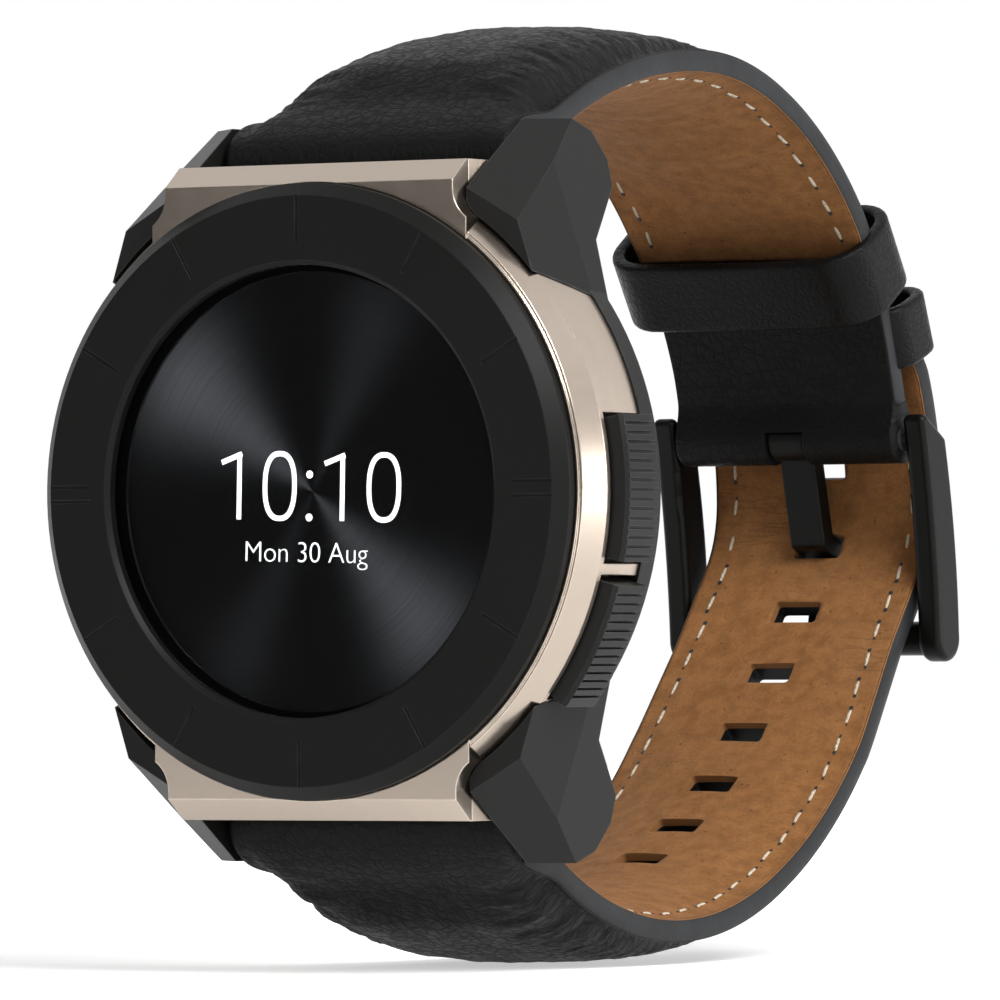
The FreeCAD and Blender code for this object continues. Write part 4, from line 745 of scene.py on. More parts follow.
class StrapHalf:
    """One strap half: its route and how wide and thick the leather is along it."""

    LUG_HALF = 11.2 * MM
    HINGE_HALF = 9.8 * MM
    EYE_RADIUS = 2.5 * MM
    PAD_END = 32.6 * MM
    CROWN_Y = 10.6 * MM
    CROWN_Z = 32.3 * MM
    SHOULDER_HALF = 9.62 * MM
    SHOULDER_Y = 47.5 * MM
    TAIL_Y = 53.2 * MM

    def __init__(self, name, route, tail_half, bow_start):
        self.name = name
        self.route = route
        self.tail_half = tail_half
        self.bow_start = bow_start
        self.bar = Vector((0.0, LUG_BAR.y, LUG_BAR.z * route.side))
        offset = self.bar - route.spot(0.0)
        self.bar_distance = offset.dot(route.along(0.0))
        self.bar_offset = offset.dot(route.outward(0.0))
        hub, radius = route.runs[1][2], route.runs[1][3]
        self.pad_distance = route.runs[0][1] + math.asin((self.PAD_END - hub[0]) / radius) * radius
        crown = Vector((0.0, self.CROWN_Y, self.CROWN_Z * route.side))
        self.hub, self.crown_radius = circle_through(
            route.spot(1.0 * MM, 2 * self.EYE_RADIUS), crown, route.spot(self.pad_distance, LEATHER_HEIGHT))

    def half_width(self, distance):
        """Half the strap's width: straight at the lugs, then tapering to the buckle."""
        y = self.route.spot(distance).y
        rows = [(-7.2 * MM, self.LUG_HALF), (-1.2 * MM, self.LUG_HALF), (36.1 * MM, self.HINGE_HALF),
                (self.SHOULDER_Y, self.SHOULDER_HALF), (self.TAIL_Y, self.tail_half),
                (80.0 * MM, self.tail_half)]
        for (y_low, first), (y_high, last) in zip(rows, rows[1:]):
            if y <= y_high:
                return first + (last - first) * max(y - y_low, 0.0) / (y_high - y_low)
        return self.tail_half

    def bow(self, distance, across, settings):
        """How far the inner face curls towards the wrist, deepest along the middle."""
        if distance < self.route.runs[0][1]:
            depth = smooth(distance, self.bar_distance + 2.0 * MM, self.bar_distance + 14.0 * MM)
        else:
            height = self.route.spot(distance).z * self.route.side
            depth = min(max((height - self.bow_start) / (26.0 * MM - self.bow_start), 0.0), 1.0)
        share = min(abs(across) / (self.half_width(distance) - 0.6 * MM), 1.0)
        return settings.bow * depth * (1.0 - share ** 2)

    def crown_height(self, distance):
        """The padding's height above the inner face, in the middle of the strap."""
        start = self.route.spot(distance)
        facing = self.route.outward(distance)
        offset = Vector((start.y, start.z)) - self.hub
        ahead = offset.dot(Vector((facing.y, facing.z)))
        square = ahead ** 2 - offset.dot(offset) + self.crown_radius ** 2
        return -ahead + math.sqrt(max(square, 0.0))

    def edge_height(self, distance):
        """Height of the strap's edge: the eye round the bar, then two layers of leather."""
        eye = self.bar_offset + self.EYE_RADIUS
        drop = smooth(distance, self.bar_distance + 0.5 * MM, self.bar_distance + 6.0 * MM)
        return eye + (LEATHER_HEIGHT - eye) * drop

    def wrinkle(self, distance, across, settings):
        """Creases that run in from the edge, and softer ones that follow the crown."""
        gap = self.half_width(distance) - abs(across)
        side = 7.0 if across > 0 else 19.0
        place = Vector((across / MM * 0.10 + side, distance / MM * 0.36, self.route.side * 3.0))
        pull = 1.0 - abs(noise.fractal(place, 0.6, 2.2, 4)) * 2.6
        near = smooth(gap, 0.7 * MM, 1.5 * MM) * (1.0 - smooth(gap, 2.5 * MM, 6.5 * MM))
        slant = Vector((across / MM * 0.42 + distance / MM * 0.20,
                        distance / MM * 0.22 - across / MM * 0.12, 5.0))
        soft = noise.fractal(slant, 0.8, 2.0, 4)
        inner = smooth(gap, 1.2 * MM, 4.0 * MM)
        ends = smooth(distance, self.bar_distance, self.bar_distance + 5.0 * MM)
        ends *= 1.0 - smooth(distance, self.pad_distance - 3.0 * MM, self.pad_distance + 2.0 * MM)
        return settings.wrinkle_height * ends * (near * min(pull, 1.0) * 0.62 + inner * soft * 0.42)

    def outer_height(self, distance, across, settings):
        """The outer face: the roll over the bar, the groove inside the edge and the padded crown."""
        base = self.edge_height(distance)
        if distance <= self.bar_distance:
            reach = max(self.EYE_RADIUS ** 2 - (distance - self.bar_distance) ** 2, 0.0)
            base = self.bar_offset + math.sqrt(reach)
        if distance > self.pad_distance + 2.0 * MM:
            return LEATHER_HEIGHT
        rise = max(self.crown_height(distance) - base, 0.0) if distance < self.pad_distance else 0.0
        rise *= smooth(distance, self.bar_distance - 1.5 * MM, self.bar_distance + 8.0 * MM)
        near_bar = 1.0 - smooth(distance, self.bar_distance, self.bar_distance + 11.0 * MM)
        gap = self.half_width(distance) - abs(across)
        share = min(abs(across) / (self.half_width(distance) - 0.75 * MM), 1.0)
        crown = (1.0 - share ** (2.8 + 5.0 * near_bar)) ** 0.66
        padded = min(rise / (1.2 * MM), 1.0)
        groove = settings.groove * padded * math.exp(-((gap - 1.0 * MM) / (0.42 * MM)) ** 2)
        return base + rise * crown - groove + self.wrinkle(distance, across, settings)

    def eye_floor(self, distance, rest):
        """The inner side of the cover: round the bar, then back to its place on the lining."""
        if distance <= self.bar_distance:
            reach = max(self.EYE_RADIUS ** 2 - (distance - self.bar_distance) ** 2, 0.0)
            return self.bar_offset - math.sqrt(reach)
        low_side = self.bar_offset - self.EYE_RADIUS
        climb = smooth(distance, self.bar_distance, self.bar_distance + 3.0 * MM)
        return low_side + (rest - low_side) * climb


class ShortHalf(StrapHalf):
    """The half that carries the buckle: its cover folds back round the buckle's bar."""

    FOLD_RADIUS = 1.75 * MM
    FOLD_START = 17.5 * MM

    def __init__(self, settings):
        super().__init__("short_strap", short_route(settings), 9.1 * MM, 19.5 * MM)
        self.fold_offset = (BUCKLE_BAR - LOOP_CENTRE).length - LOOP_RADIUS
        self.fold_distance = self.route.find(self.FOLD_START)
        self.fold_bar = self.route.find(BUCKLE_BAR.z, self.fold_offset)
        self.end = self.fold_bar + self.FOLD_RADIUS

    def fold(self, distance, inner, outer):
        """Both faces near the end, drawn out to the roll round the buckle's bar."""
        past = distance - self.fold_bar
        if past >= 0.0:
            reach = math.sqrt(max(self.FOLD_RADIUS ** 2 - past ** 2, 0.0))
            return self.fold_offset - reach, self.fold_offset + reach
        blend = smooth(distance, self.fold_bar - 3.2 * MM, self.fold_bar)
        return (inner + (self.fold_offset - self.FOLD_RADIUS - inner) * blend,
                outer + (self.fold_offset + self.FOLD_RADIUS - outer) * blend)

    def cover_faces(self, distance, across, settings):
        rest = LINING_HEIGHT + (-0.1 * MM - LINING_HEIGHT) * smooth(
            distance, self.fold_distance - 0.15 * MM, self.fold_distance + 0.15 * MM)
        inner = self.eye_floor(distance, rest - self.bow(distance, across, settings))
        return self.fold(distance, inner, self.outer_height(distance, across, settings))

    def width_at(self, distance):
        return self.half_width(distance)


class LongHalf(StrapHalf):
    """The half with the adjustment holes and a rounded tip."""

    TIP_REACH = 17.0 * MM

    def __init__(self, settings):
        super().__init__("long_strap", long_route(settings), 9.1 * MM, 9.0 * MM)
        rise = self.tail_half * 0.9
        self.tip_radius = (self.tail_half ** 2 + rise ** 2) / (2 * rise)
        self.tip_hub = self.TIP_REACH - self.tip_radius
        self.end = self.route.find(-self.TIP_REACH)

    def cover_faces(self, distance, across, settings):
        inner = self.eye_floor(distance, LINING_HEIGHT - self.bow(distance, across, settings))
        return inner, self.outer_height(distance, across, settings)

    def width_at(self, distance):
        """The width with the rounded tip."""
        z = self.route.spot(distance).z
        wide = self.half_width(distance)
        on_rear = distance > self.route.runs[0][1]
        if on_rear and z > self.tip_hub:
            return min(wide, math.sqrt(max(self.tip_radius ** 2 - (z - self.tip_hub) ** 2, 0.0)))
        return wide


# ---------------------------------------------------------------- mesh helpers

def finish_mesh(bm, name, materials, body, shade=True):
    """Turn a bmesh into a scene object that rides on a body."""
    bmesh.ops.remove_doubles(bm, verts=bm.verts, dist=2e-7)
    bmesh.ops.recalc_face_normals(bm, faces=bm.faces)
    mesh = bpy.data.meshes.new(name)
    bm.to_mesh(mesh)
    bm.free()
    thing = bpy.data.objects.new(name, mesh)
    bpy.context.scene.collection.objects.link(thing)
    for material in materials:
        mesh.materials.append(material)
    if shade:
        mesh.polygons.foreach_set("use_smooth", [True] * len(mesh.polygons))
    if body:
        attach(thing, body)
    return thing


def bent_sheet(columns, rows, bend):
    """A closed sheet: a grid and its lifted copy, with each vertex put in place by bend(u, v, top)."""
    bm = bmesh.new()
    bmesh.ops.create_grid(bm, x_segments=columns, y_segments=rows, size=0.5)
    lifted = bmesh.ops.extrude_face_region(bm, geom=bm.faces[:], use_keep_orig=True)
    tops = [item for item in lifted["geom"] if isinstance(item, bmesh.types.BMVert)]
    bmesh.ops.translate(bm, verts=tops, vec=(0.0, 0.0, 1.0))
    along = bm.loops.layers.uv.new("Along")
    marks = {}
    for vert in bm.verts:
        place, mark = bend(vert.co.x, vert.co.y + 0.5, vert.co.z > 0.5)
        marks[vert] = mark
        vert.co = place
    for face in bm.faces:
        for loop in face.loops:
            loop[along].uv = marks[loop.vert]
    return bm


def ease(ratio, amount=0.55):
    """Spread 0..1 so that both ends get more rows."""
    return ratio - amount * math.sin(2 * math.pi * ratio) / (2 * math.pi)


def sweep(section, stations):
    """A closed skin: a flat ring carried from station to station, its ends capped."""
    bm = bmesh.new()
    along = bm.loops.layers.uv.new("Along")
    ring = bmesh.ops.create_circle(bm, cap_ends=True, segments=section, radius=1.0)["verts"]
    bmesh.ops.transform(bm, matrix=stations[0], verts=ring)
    face = bm.faces[:][0]
    edges = face.edges[:]
    for before, after in zip(stations, stations[1:]):
        moved = bmesh.ops.extrude_edge_only(bm, edges=edges)["geom"]
        verts = [item for item in moved if isinstance(item, bmesh.types.BMVert)]
        edges = [item for item in moved if isinstance(item, bmesh.types.BMEdge)]
        bmesh.ops.transform(bm, matrix=after @ before.inverted(), verts=verts)
    bmesh.ops.contextual_create(bm, geom=edges)
    for face in bm.faces:
        for loop in face.loops:
            loop[along].uv = (loop.vert.co.x, loop.vert.co.y + loop.vert.co.z)
    return bm


def merged(meshes):
    """Join several bmeshes into one."""
    whole = bmesh.new()
    whole.loops.layers.uv.new("Along")
    for bm in meshes:
        part = bpy.data.meshes.new("part")
        bm.to_mesh(part)
        bm.free()
        whole.from_mesh(part)
        bpy.data.meshes.remove(part)
    return whole


def cut_through(thing, cutters):
    """Cut closed shapes out of a piece and keep the result as its mesh."""
    tool = finish_mesh(cutters, thing.name + "_cutter", [], None, shade=False)
    modifier = thing.modifiers.new("Holes", "BOOLEAN")
    modifier.operation = "DIFFERENCE"
    modifier.solver = "EXACT"
    modifier.object = tool
    graph = bpy.context.evaluated_depsgraph_get()
    result = bpy.data.meshes.new_from_object(thing.evaluated_get(graph))
    thing.modifiers.remove(modifier)
    old = thing.data
    thing.data = result
    result.name = thing.name
    bpy.data.meshes.remove(old)
    bpy.data.objects.remove(tool, do_unlink=True)


# ---------------------------------------------------------------- strap pieces

def cover(half, settings, rows, columns=72):
    """The outer leather of a strap half with its padded crown."""
    start = half.bar_distance - half.EYE_RADIUS
    span = half.end - start

    def bend(u, v, top):
        distance = start + span * ease(v)
        across = u * 2 * half.width_at(distance)
        inner, outer = half.cover_faces(distance, across, settings)
        return half.route.spot(distance, outer if top else inner, across), (across, distance)

    return bent_sheet(columns, rows, bend)


def lining(half, settings, start, end, rows, columns=48):
    """The inner leather with the slight waves of a worn strap."""

    def bend(u, v, top):
        distance = start + (end - start) * v
        across = u * 2 * half.width_at(distance)
        bow = half.bow(distance, across, settings)
        if top:
            return half.route.spot(distance, LINING_HEIGHT - bow, across), (across, distance)
        gap = half.width_at(distance) - abs(across)
        place = Vector((across / MM * 0.11, distance / MM * 0.42, half.route.side * 7.0))
        wave = noise.fractal(place, 0.7, 2.1, 4) * smooth(gap, 0.6 * MM, 3.0 * MM)
        return half.route.spot(distance, 0.09 * MM * wave - bow, across), (across, distance)

    return bent_sheet(columns, rows, bend)


def edge_station(half, distance, across, outward_side, low_side, high_side, swell=0.24 * MM):
    """The place of the painted bead at one point of the edge."""
    normal = half.route.outward(distance)
    middle = half.route.spot(distance, (low_side + high_side) / 2, across)
    forward = normal.cross(outward_side).normalized()
    axes = Matrix((outward_side * swell, normal * (high_side - low_side) / 2, forward)).transposed()
    return Matrix.Translation(middle) @ axes.to_4x4()


def edge_run(half, side, start, end, steps):
    """Stations of the painted bead along one straight edge."""
    stations = []
    for step in range(steps + 1):
        distance = start + (end - start) * step / steps
        across = side * (half.width_at(distance) - 0.1 * MM)
        outward_side = Vector((side, 0.0, 0.0))
        high_side = half.edge_height(distance) + 0.02 * MM
        stations.append(edge_station(half, distance, across, outward_side, -0.02 * MM, high_side))
    return stations


def tip_run(half, steps=40):
    """Stations of the painted bead round the tip, from +X to -X."""
    stations = []
    for step in range(1, steps):
        turn = math.pi * (0.5 - step / steps)
        z = half.tip_hub + math.cos(turn) * (half.tip_radius - 0.1 * MM)
        across = math.sin(turn) * (half.tip_radius - 0.1 * MM)
        distance = half.route.find(-z)
        side = Vector((math.sin(turn), 0.0, 0.0)) + half.route.along(distance) * math.cos(turn)
        stations.append(edge_station(half, distance, across, side, -0.02 * MM, LEATHER_HEIGHT + 0.02 * MM))
    return stations


def painted_edges(half, settings):
    start = half.bar_distance + 1.0 * MM
    if isinstance(half, ShortHalf):
        end = half.fold_bar - 2.6 * MM
        runs = [edge_run(half, side, start, end, 150) for side in (1, -1)]
        return merged([sweep(14, stations) for stations in runs])
    end = half.route.find(-half.tip_hub)
    right = edge_run(half, 1, start, end, 160)
    left = edge_run(half, -1, start, end, 160)
    return sweep(14, right + tip_run(half) + left[::-1])


def stitch_template(settings):
    """One stitch along X: a capsule whose ends dip into the leather."""
    bm = bmesh.new()
    bmesh.ops.create_uvsphere(bm, u_segments=8, v_segments=7, radius=1.0,
                              matrix=Matrix.Rotation(math.pi / 2, 4, "Y"))
    length, radius = settings.stitch_length / 2, settings.thread_radius
    for vert in bm.verts:
        reach = math.copysign(abs(vert.co.x) ** 0.6, vert.co.x)
        dip = -radius * 1.5 * abs(reach) ** 4
        vert.co = Vector((reach * length, vert.co.y * radius, vert.co.z * radius * 0.85 + dip))
    mesh = bpy.data.meshes.new("stitch")
    bm.to_mesh(mesh)
    bm.free()
    return mesh


def needle_hole_shade_template(settings):
    """Two flat dark dots at the ends of a stitch, where the needle went through: painted shade of the needle
    holes.
    """
    bm = bmesh.new()
    for end in (1, -1):
        place = Matrix.Translation((end * settings.stitch_length * 0.5, 0.0, 0.0))
        size = Matrix.Diagonal((0.21 * MM, 0.19 * MM, 0.03 * MM, 1.0))
        bmesh.ops.create_uvsphere(bm, u_segments=8, v_segments=5, radius=1.0, matrix=place @ size)
    mesh = bpy.data.meshes.new("needle")
    bm.to_mesh(mesh)
    bm.free()
    return mesh


def stitch_rows(half, settings, start, end, outside, template):
    """Copies of a template along both edges, on the lining or on the outer face."""
    bm = bmesh.new()
    bm.loops.layers.uv.new("Along")
    count = int((end - start) / settings.stitch_pitch)
    for side in (1, -1):
        for step in range(count):
            distance = start + (step + 0.5) * settings.stitch_pitch
            sway = 0.05 * MM * math.sin(step * 2.7 + side)
            lean = math.radians(4.0) * side + math.radians(2.0) * math.sin(step * 1.9)
            across = side * (half.width_at(distance) - settings.stitch_inset) + sway
            height = LEATHER_HEIGHT if outside else -half.bow(distance, across, settings)
            add_stitch(bm, template, half, distance, across, height, outside, lean)
    bpy.data.meshes.remove(template)
    return bm


def add_stitch(bm, template, half, distance, across, height, outside, lean, heading=None):
    """One copy of the stitch laid on the leather."""
    up = half.route.outward(distance) * (1.0 if outside else -1.0)
    ahead = heading if heading else half.route.along(distance)
    ahead = Matrix.Rotation(lean, 3, up) @ ahead
    axes = Matrix((ahead, up.cross(ahead), up)).transposed().to_4x4()
    before = len(bm.verts)
    bm.from_mesh(template)
    bm.verts.ensure_lookup_table()
    place = Matrix.Translation(half.route.spot(distance, height, across)) @ axes
    bmesh.ops.transform(bm, matrix=place, verts=bm.verts[before:])


def hole_cutters(half, settings):
    """Rounded blocks through both layers at each adjustment hole."""
    first = half.route.find(FIRST_HOLE, LEATHER_HEIGHT / 2)
    bm = bmesh.new()
    for step in range(-1, settings.hole_count - 1):
        distance = first - settings.hole_pitch * step
        block = bmesh.ops.create_cube(bm, size=1.0)["verts"]
        edges = [edge for edge in bm.edges if edge.verts[0] in block and abs(
            edge.verts[0].co.z - edge.verts[1].co.z) > 0.5]
        size = Matrix.Diagonal((settings.hole_width, settings.hole_length, 6.0 * MM, 1.0))
        axes = Matrix((Vector((1, 0, 0)), half.route.along(distance), half.route.outward(distance)))
        place = Matrix.Translation(half.route.spot(distance, LEATHER_HEIGHT / 2)) @ axes.transposed().to_4x4()
        bmesh.ops.transform(bm, matrix=place @ size, verts=block)
        bmesh.ops.bevel(bm, geom=edges, offset=0.28 * MM, segments=3, profile=0.5, affect="EDGES",
                        material=-1)
    return bm


def bend_with(thing, half):
    """Bake a strap piece's transform; the place where the loop sways is worked out but the piece is not bent.
    """
    flex = half.route.find(LUG_BAR.z + half.route.side * FLEX_LIFT, LEATHER_HEIGHT / 2)
    start = half.route.spot(flex - 6.0 * MM)
    end = half.route.spot(flex + 6.0 * MM)
    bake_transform(thing)


# ---------------------------------------------------------------- operators

class WATCH_OT_case(bpy.types.Operator):
    """Finish the case ring, bezel, lugs, glass and case back"""

    bl_idname = "watch.case"
    bl_label = "Case"

    def execute(self, context):
        settings = context.scene.watch_case
        radius = settings.edge_radius
        wear("case_ring", case_metal(settings))
        # The colour after the roughness is the painted edge highlight on the rims, mixed with wear.
        wear("bezel_ring", satin_metal("black_bezel", settings.bezel_color, 0.42, (0.06, 0.06, 0.058, 1.0),
                                       radius, wear=0.5))
        wear("lug_frame", satin_metal("black_metal", settings.lug_color, 0.40, (0.11, 0.11, 0.108, 1.0),
                                      radius, wear=0.7))
        wear("cover_glass", clear_glass())
        back = moulded("case_back_plastic", grey(0.012), 0.4)
        wear("case_back", back)
        wear("sensor_window", satin_metal("sensor_glass", (0.006, 0.006, 0.008, 1.0), 0.08,
                                          grey(0.02), radius, wear=0.2))
        wear("charging_contacts", satin_metal("contact_metal", (0.80, 0.56, 0.25, 1.0), 0.25,
                                              (0.9, 0.75, 0.5, 1.0), radius, metallic=1.0))
        wear("case_screws", satin_metal("screw_steel", grey(0.5), 0.3, grey(0.7),
                                        radius, metallic=1.0))
        return {"FINISHED"}


class WATCH_OT_inside(bpy.types.Operator):
    """Finish what the case holds: boards, battery, motor, seals and springs"""

    bl_idname = "watch.inside"
    bl_label = "Inside"

    def execute(self, context):
        radius = context.scene.watch_case.edge_radius
        plastic = moulded("inner_plastic", grey(0.02))
        rubber = moulded("seal_rubber", grey(0.012), 0.7)
        # The colour after the roughness is the painted edge highlight on the rims, mixed with wear.
        steel = satin_metal("bright_steel", (0.45, 0.45, 0.46, 1.0), 0.3, grey(0.7), radius, metallic=1.0)
        dark = satin_metal("dark_steel", grey(0.03), 0.35, grey(0.08), radius)
        board = circuit_board()
        for node in ("inner_chassis", "board_chips", "click_switch_upper", "click_switch_lower"):
            wear(node, plastic)
        for node in ("glass_gasket", "case_back_seal", "pusher_seal_upper", "pusher_seal_lower"):
            wear(node, rubber)
        for node in ("main_board", "sensor_board"):
            wear(node, board)
        wear("battery", satin_metal("battery_foil", (0.5, 0.5, 0.52, 1.0), 0.35, grey(0.7),
                                    radius, metallic=1.0))
        for node in frame["nodes"]:
            if node.startswith(("pusher_stem", "pusher_clip", "pusher_spring", "vibration_motor")):
                wear(node, steel)
            if "_bar_tip_" in node or node.endswith("_bar_tube"):
                wear(node, dark)
        return {"FINISHED"}


class WATCH_OT_pushers(bpy.types.Operator):
    """Finish the ribbed pusher caps"""

    bl_idname = "watch.pushers"
    bl_label = "Pushers"

    def execute(self, context):
        settings = context.scene.watch_case
        # The colour after the roughness is the painted edge highlight on the rims, mixed with wear.
        finish = satin_metal("pusher_metal", settings.lug_color, 0.38, (0.12, 0.12, 0.118, 1.0),
                             settings.edge_radius * 0.7, wear=0.8)
        wear("pusher_cap_upper", finish)
        wear("pusher_cap_lower", finish)
        return {"FINISHED"}


class WATCH_OT_dial(bpy.types.Operator):
    """Light the dial: the panel's painted reflection, the time and the date"""

    bl_idname = "watch.dial"
    bl_label = "Dial"

    def execute(self, context):
        settings = context.scene.watch_dial
        wear("display_panel", dial_panel())
        white = lit_digits(settings)
        face = low("display_panel").y - 0.05 * MM
        digits = time_digits(settings)
        turn = Matrix.Rotation(math.pi / 2, 4, "X") @ Matrix.Rotation(settings.tilt, 4, "Z")
        stand = Matrix.Translation((0.0, face, 0.0)) @ turn
        bmesh.ops.transform(digits, matrix=stand, verts=digits.verts)
        finish_mesh(digits, "time_digits", [white], "case", shade=False)
        date_line(settings, white, stand)
        return {"FINISHED"}


def ring_stroke(bm, middle, half_wide, half_high, stroke):
    """A figure nought: a flat ring round an upright oval."""
    outer = bmesh.ops.create_circle(bm, segments=64, radius=1.0)["verts"]
    edges = list({edge for vert in outer for edge in vert.link_edges})
    for vert in outer:
        flat = 0.82
        vert.co.x = math.copysign(abs(vert.co.x) ** flat, vert.co.x) * half_wide + middle[0]
        vert.co.y = math.copysign(abs(vert.co.y) ** flat, vert.co.y) * half_high + middle[1]
    moved = bmesh.ops.extrude_edge_only(bm, edges=edges)["geom"]
    inner = [item for item in moved if isinstance(item, bmesh.types.BMVert)]
    shrink = Matrix.Diagonal(((half_wide - stroke) / half_wide, (half_high - stroke) / half_high, 1.0, 1.0))
    hub = Matrix.Translation((middle[0], middle[1], 0.0))
    bmesh.ops.transform(bm, matrix=hub @ shrink @ hub.inverted(), verts=inner)


def bar_stroke(bm, start, end, stroke):
    """A straight stroke between two points."""
    first, last = Vector(start), Vector(end)
    run = last - first
    place = Matrix.Translation(((first.x + last.x) / 2, (first.y + last.y) / 2, 0.0))
    turn = Matrix.Rotation(math.atan2(run.y, run.x), 4, "Z")
    size = Matrix.Diagonal((run.length, stroke, 1.0, 1.0))
    bmesh.ops.create_grid(bm, x_segments=1, y_segments=1, size=0.5, matrix=place @ turn @ size)


def time_digits(settings):
    """The time in thin digits: ones, noughts and a colon, centred on the dial."""
    bm = bmesh.new()
    tall = settings.digit_height
    stroke = settings.stroke
    top, foot = settings.digit_rise + tall / 2, settings.digit_rise - tall / 2
    spots = (-5.91 * MM, -2.64 * MM, 2.40 * MM, 5.72 * MM)
    for letter, spot in zip(settings.hours + settings.minutes, spots):
        if letter == "0":
            ring_stroke(bm, (spot, settings.digit_rise), tall * 0.295, tall * 0.515, stroke)
        else:
            bar_stroke(bm, (spot, foot), (spot, top - 0.1 * MM), stroke)
            flag_start = (spot - tall * 0.31, top - tall * 0.165)
            bar_stroke(bm, flag_start, (spot + stroke * 0.5, top - tall * 0.035), stroke)
    for height in (tall * 0.175, tall * -0.455):
        dot = bmesh.ops.create_circle(bm, cap_ends=True, segments=24, radius=stroke * 0.74)["verts"]
        bmesh.ops.translate(bm, verts=dot, vec=(-0.24 * MM, settings.digit_rise + height, 0.0))
    lifted = bmesh.ops.extrude_face_region(bm, geom=bm.faces[:], use_keep_orig=True)
    tops = [item for item in lifted["geom"] if isinstance(item, bmesh.types.BMVert)]
    bmesh.ops.translate(bm, verts=tops, vec=(0.0, 0.0, 0.03 * MM))
    return bm


def date_line(settings, material, stand):
    """The small date under the time, as a mesh in its place."""
    curve = bpy.data.curves.new("date_line", "FONT")
    curve.body = settings.date
    curve.align_x = "CENTER"
    curve.align_y = "CENTER"
    curve.size = 2.05 * MM
    curve.space_character = 0.98
    curve.offset = -0.034 * MM
    curve.extrude = 0.012 * MM
    holder = bpy.data.objects.new("date_line_text", curve)
    bpy.context.scene.collection.objects.link(holder)
    graph = bpy.context.evaluated_depsgraph_get()
    mesh = bpy.data.meshes.new_from_object(holder.evaluated_get(graph))
    bpy.data.objects.remove(holder, do_unlink=True)
    mesh.transform(stand @ Matrix.Translation((-0.48 * MM, -4.22 * MM, 0.0)))
    thing = bpy.data.objects.new("date_line", mesh)
    mesh.materials.clear()
    mesh.materials.append(material)
    bpy.context.scene.collection.objects.link(thing)
    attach(thing, "case")


class WATCH_OT_strap(bpy.types.Operator):
    """Make both strap halves: covers, linings, painted edges and stitches"""

    bl_idname = "watch.strap"
    bl_label = "Strap"

    def execute(self, context):
        settings = context.scene.watch_strap
        leather = black_leather("black_leather", settings)
        buffed = nubuck_lining(settings)
        paint = edge_paint(settings)
        cream = thread("cream_thread", tuple(settings.thread_color))
        black = thread("black_thread", grey(0.02))
        make_short_half(ShortHalf(settings), settings, leather, buffed, paint, cream, black)
        make_long_half(LongHalf(settings), settings, leather, buffed, paint, cream, black)
        return {"FINISHED"}


def make_short_half(half, settings, leather, buffed, paint, cream, black):
    upper = finish_mesh(cover(half, settings, 320), "short_strap_upper", [leather], None)
    cut_through(upper, tang_slot())
    inside = finish_mesh(lining(half, settings, half.bar_distance + 1.2 * MM, half.fold_distance, 240),
                         "short_strap_inside", [buffed], None)
    edges = finish_mesh(painted_edges(half, settings), "short_strap_edges", [paint], None)
    seams = make_seams(half, settings, half.fold_distance - 0.5 * MM, half.fold_bar - 3.0 * MM, cream, black)
    for thing in [upper, inside, edges] + seams:
        bend_with(thing, half)
    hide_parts("short_strap_cover_front", "short_strap_cover_rear", "short_strap_padding")
    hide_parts("short_strap_lining_front", "short_strap_lining_rear")


def tang_slot():
    """The slot in the fold that the tang swings in, with room for its eye."""
    bm = bmesh.new()
    size = Matrix.Diagonal((3.2 * MM, 12.0 * MM, 12.0 * MM, 1.0))
    place = Matrix.Translation((0.0, BUCKLE_BAR.y, BUCKLE_BAR.z + 0.6 * MM - 6.0 * MM))
    bmesh.ops.create_cube(bm, size=1.0, matrix=place @ size)
    turn = Matrix.Rotation(math.pi / 2, 4, "Y")
    bmesh.ops.create_cone(bm, cap_ends=True, segments=48, radius1=1.5 * MM, radius2=1.5 * MM, depth=3.2 * MM,
                          matrix=Matrix.Translation(BUCKLE_BAR) @ turn)
    return bm


def make_long_half(half, settings, leather, buffed, paint, cream, black):
    upper = finish_mesh(cover(half, settings, 360), "long_strap_upper", [leather], None)
    inside = finish_mesh(lining(half, settings, half.bar_distance + 1.2 * MM, half.end, 300),
                         "long_strap_inside", [buffed], None)
    cut_through(upper, hole_cutters(half, settings))
    cut_through(inside, hole_cutters(half, settings))
    edges = finish_mesh(painted_edges(half, settings), "long_strap_edges", [paint], None)
    straight_end = half.route.find(-half.tip_hub)
    seams = make_seams(half, settings, straight_end, straight_end, cream, black)
    for thing in [upper, inside, edges] + seams:
        bend_with(thing, half)
    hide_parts("long_strap_cover_front", "long_strap_cover_rear", "long_strap_padding")
    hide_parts("long_strap_lining_front", "long_strap_lining_rear")


def make_seams(half, settings, inner_end, outer_end, cream, black):
    """Pale stitches on the lining with dark dots as painted shade of their needle holes, and dark stitches on
    the outer face.
    """
    start = half.bar_distance + 4.0 * MM
    rows = stitch_rows(half, settings, start, inner_end, False, stitch_template(settings))
    pale = finish_mesh(rows, half.name + "_stitches", [cream], None)
    # Dark dots in the black thread finish: painted shade in the needle holes.
    rows = stitch_rows(half, settings, start, inner_end, False, needle_hole_shade_template(settings))
    needle_hole_shade = finish_mesh(rows, half.name + "_needle_hole_shade", [black], None)
    rows = stitch_rows(half, settings, half.pad_distance + 2.0 * MM, outer_end, True,
                       stitch_template(settings))
    dark = finish_mesh(rows, half.name + "_outer_stitches", [black], None)
    return [pale, needle_hole_shade, dark]


